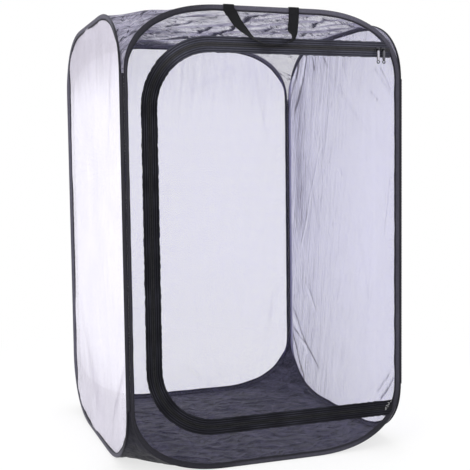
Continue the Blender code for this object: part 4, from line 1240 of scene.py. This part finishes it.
def make_handle():
    """Webbing loop that twists edge-on along the bottom and stands out in front."""
    left, right = (box(f"handle_{word}_tab").mean(axis=0)[0] for word in ("left", "right"))
    low, high = box("carry_handle")
    path = handle_path(np.linspace(0.0, 1.0, 161))
    drop = (high[2] - low[2] - STRAP_THICK / 2) / path[:, 1].max()
    legs = [smooth(path[:, 1], *twist) for twist in HANDLE_TWISTS]
    later = smooth(path[:, 0], 0.5, 0.8)
    angle = pi / 2 * (legs[0] * (1 - later) + (2 - legs[1]) * later)
    route = spots_of(left + (right - left) * path[:, 0],
                     high[1] - STRAP_THICK / 2 - HANDLE_BULGE * np.sin(angle),
                     high[2] - drop * path[:, 1])
    ahead = np.gradient(route, axis=0)
    ahead[0], ahead[-1] = (0.0, 0.0, -1.0), (0.0, 0.0, 1.0)
    ahead = unit(ahead)
    flat = unit(np.cross(FRONT.outward, ahead))
    angle = angle[:, None]
    wide = flat * np.cos(angle) + np.cross(flat, ahead) * np.sin(angle)
    add_strap("webbing_handle", "carry_handle", "handle", route, ahead, wide)


def make_tab(word):
    """End of the webbing folded over the top of the front binding."""
    low, high = box(f"handle_{word}_tab")
    front = low[1] + STRAP_THICK / 2
    top = high[2] - STRAP_THICK / 2
    turn = np.linspace(0.0, pi / 2, 9)
    line = np.vstack([
        spots_of(front, np.linspace(low[2], top - TAB_BEND, 12)[:-1]),
        spots_of(front + TAB_BEND * (1 - np.cos(turn)), top - TAB_BEND * (1 - np.sin(turn))),
        spots_of(np.linspace(front + TAB_BEND, high[1], 6)[1:], top),
    ])
    route = spots_of((low[0] + high[0]) / 2, *line.T)
    across = np.tile([1.0, 0.0, 0.0], (len(line), 1))
    add_strap(f"handle_{word}_fold", f"handle_{word}_tab", "front_side", route,
              unit(np.gradient(route, axis=0)), across)


def finish_wires():
    """Give the hidden spring wires and their sleeves their steel."""
    for panel in PANELS:
        for word in ("hoop_wire", "wire_sleeve"):
            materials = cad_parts[f"{panel.name}_{word}"].data.materials
            materials.clear()
            materials.append(LOOKS["spring_steel"][0])


def make_camera():
    """Camera at the photograph's viewing angle."""
    yaw, pitch, roll = np.radians(CAMERA_TURNS)
    ahead = np.array([np.sin(yaw) * np.cos(pitch), np.cos(yaw) * np.cos(pitch), -np.sin(pitch)])
    right = np.array([np.cos(yaw), -np.sin(yaw), 0.0])
    up = np.cross(right, ahead)
    data = bpy.data.cameras.new("photo_camera")
    data.lens = CAMERA_LENS
    data.sensor_width = CAMERA_SENSOR
    data.clip_end = 60.0
    camera = add_to_scene("photo_camera", data)
    matrix = np.eye(4)
    matrix[:3, 0] = np.cos(roll) * right + np.sin(roll) * up
    matrix[:3, 1] = np.cos(roll) * up - np.sin(roll) * right
    matrix[:3, 2] = -ahead
    matrix[:3, 3] = CAMERA_PLACE
    camera.matrix_world = Matrix(matrix.tolist())
    bpy.context.scene.camera = camera


def make_lamps():
    """Large soft lamps from the left front, the right front and above."""
    for name, place, size, power in LAMPS:
        data = bpy.data.lights.new(name, "AREA")
        data.size = size
        data.energy = power
        lamp = add_to_scene(name, data)
        lamp.location = place
        lamp.rotation_mode = "QUATERNION"
        away = Vector(place) - Vector(LAMP_TARGET)
        lamp.rotation_quaternion = away.to_track_quat("Z", "Y")


def seen_directly(tree):
    """One for camera, glossy and transmission rays."""
    path = shader_node(tree, "LightPath")
    first = maths(tree, "MAXIMUM", path["Is Camera Ray"], path["Is Glossy Ray"])
    return maths(tree, "MAXIMUM", first, path["Is Transmission Ray"])


def make_world():
    """Plain light from all round, seen as white."""
    world = bpy.data.worlds.new("studio")
    bpy.context.scene.world = world
    world.use_nodes = True
    tree = world.node_tree
    back = tree.nodes["Background"].inputs
    feed(tree, back["Color"], (1.0, 1.0, 1.0))
    extra = maths(tree, "MULTIPLY", seen_directly(tree), 1 - WORLD_STRENGTH)
    feed(tree, back["Strength"], maths(tree, "ADD", extra, WORLD_STRENGTH))


def make_floor_plane():
    """Pale floor that keeps a soft shadow near the cage and turns to plain white away."""
    mesh = bpy.data.meshes.new("studio_floor")
    sides = ((-1, -1), (1, -1), (1, 1), (-1, 1))
    mesh.from_pydata([(x * STUDIO_REACH, y * STUDIO_REACH, -STUDIO_DROP) for x, y in sides], [],
                     [(0, 1, 2, 3)])
    floor = add_to_scene("studio_floor", mesh)
    material = bpy.data.materials.new("pale_floor")
    mesh.materials.append(material)
    material.use_nodes = True
    tree = material.node_tree
    shader = tree.nodes["Principled BSDF"]
    for key, value in (("Base Color", (0.93, 0.93, 0.93)), ("Roughness", 0.9),
                       ("Specular IOR Level", 0.0)):
        feed(tree, shader.inputs[key], value)
    place = shader_node(tree, "TexCoord")["Object"]
    distance = shader_node(tree, "VectorMath", (place,), operation="LENGTH")["Value"]
    white = maths(tree, "MULTIPLY", ranged(tree, distance, *STUDIO_FADE), seen_directly(tree))
    glow = shader_node(tree, "Emission", {"Color": (1.0, 1.0, 1.0)})[0]
    blend = shader_node(tree, "MixShader", (white, shader.outputs[0], glow))[0]
    feed(tree, tree.nodes["Material Output"].inputs["Surface"], blend)


make_camera()
for each in PANELS:
    make_binding(each)
# The last values are painted shade towards each net's right-hand end, top and bottom
make_net(BACK, BACK_FOLDS, (230, 151), 0.1, 51, (0.0, 0.5, 0.0))
make_net(LEFT, LEFT_FOLDS, (230, 151), 0.05, 53, (0.0, 0.8, 0.45))
make_net(RIGHT, RIGHT_FOLDS, (230, 241), 0.04, 55, (0.28, 0.12, 0.02))
make_sheet("roof_netting", "roof_net", "roof_mesh", roof_push, lambda depth: HEIGHT - depth,
           False)
make_sheet("floor_sheet", "floor_cloth", "floor_panel", floor_push,
           lambda depth: depth - SHEET_INSET - SHEET_GAP, True)
make_zipper()
make_surround()
make_front_nets()
make_seams()
for each in ("first", "second"):
    make_slider(each)
make_bartack()
make_handle()
for each in ("left", "right"):
    make_tab(each)
finish_wires()
make_lamps()
make_world()
make_floor_plane()
bpy.context.scene.view_settings.view_transform = "Standard"
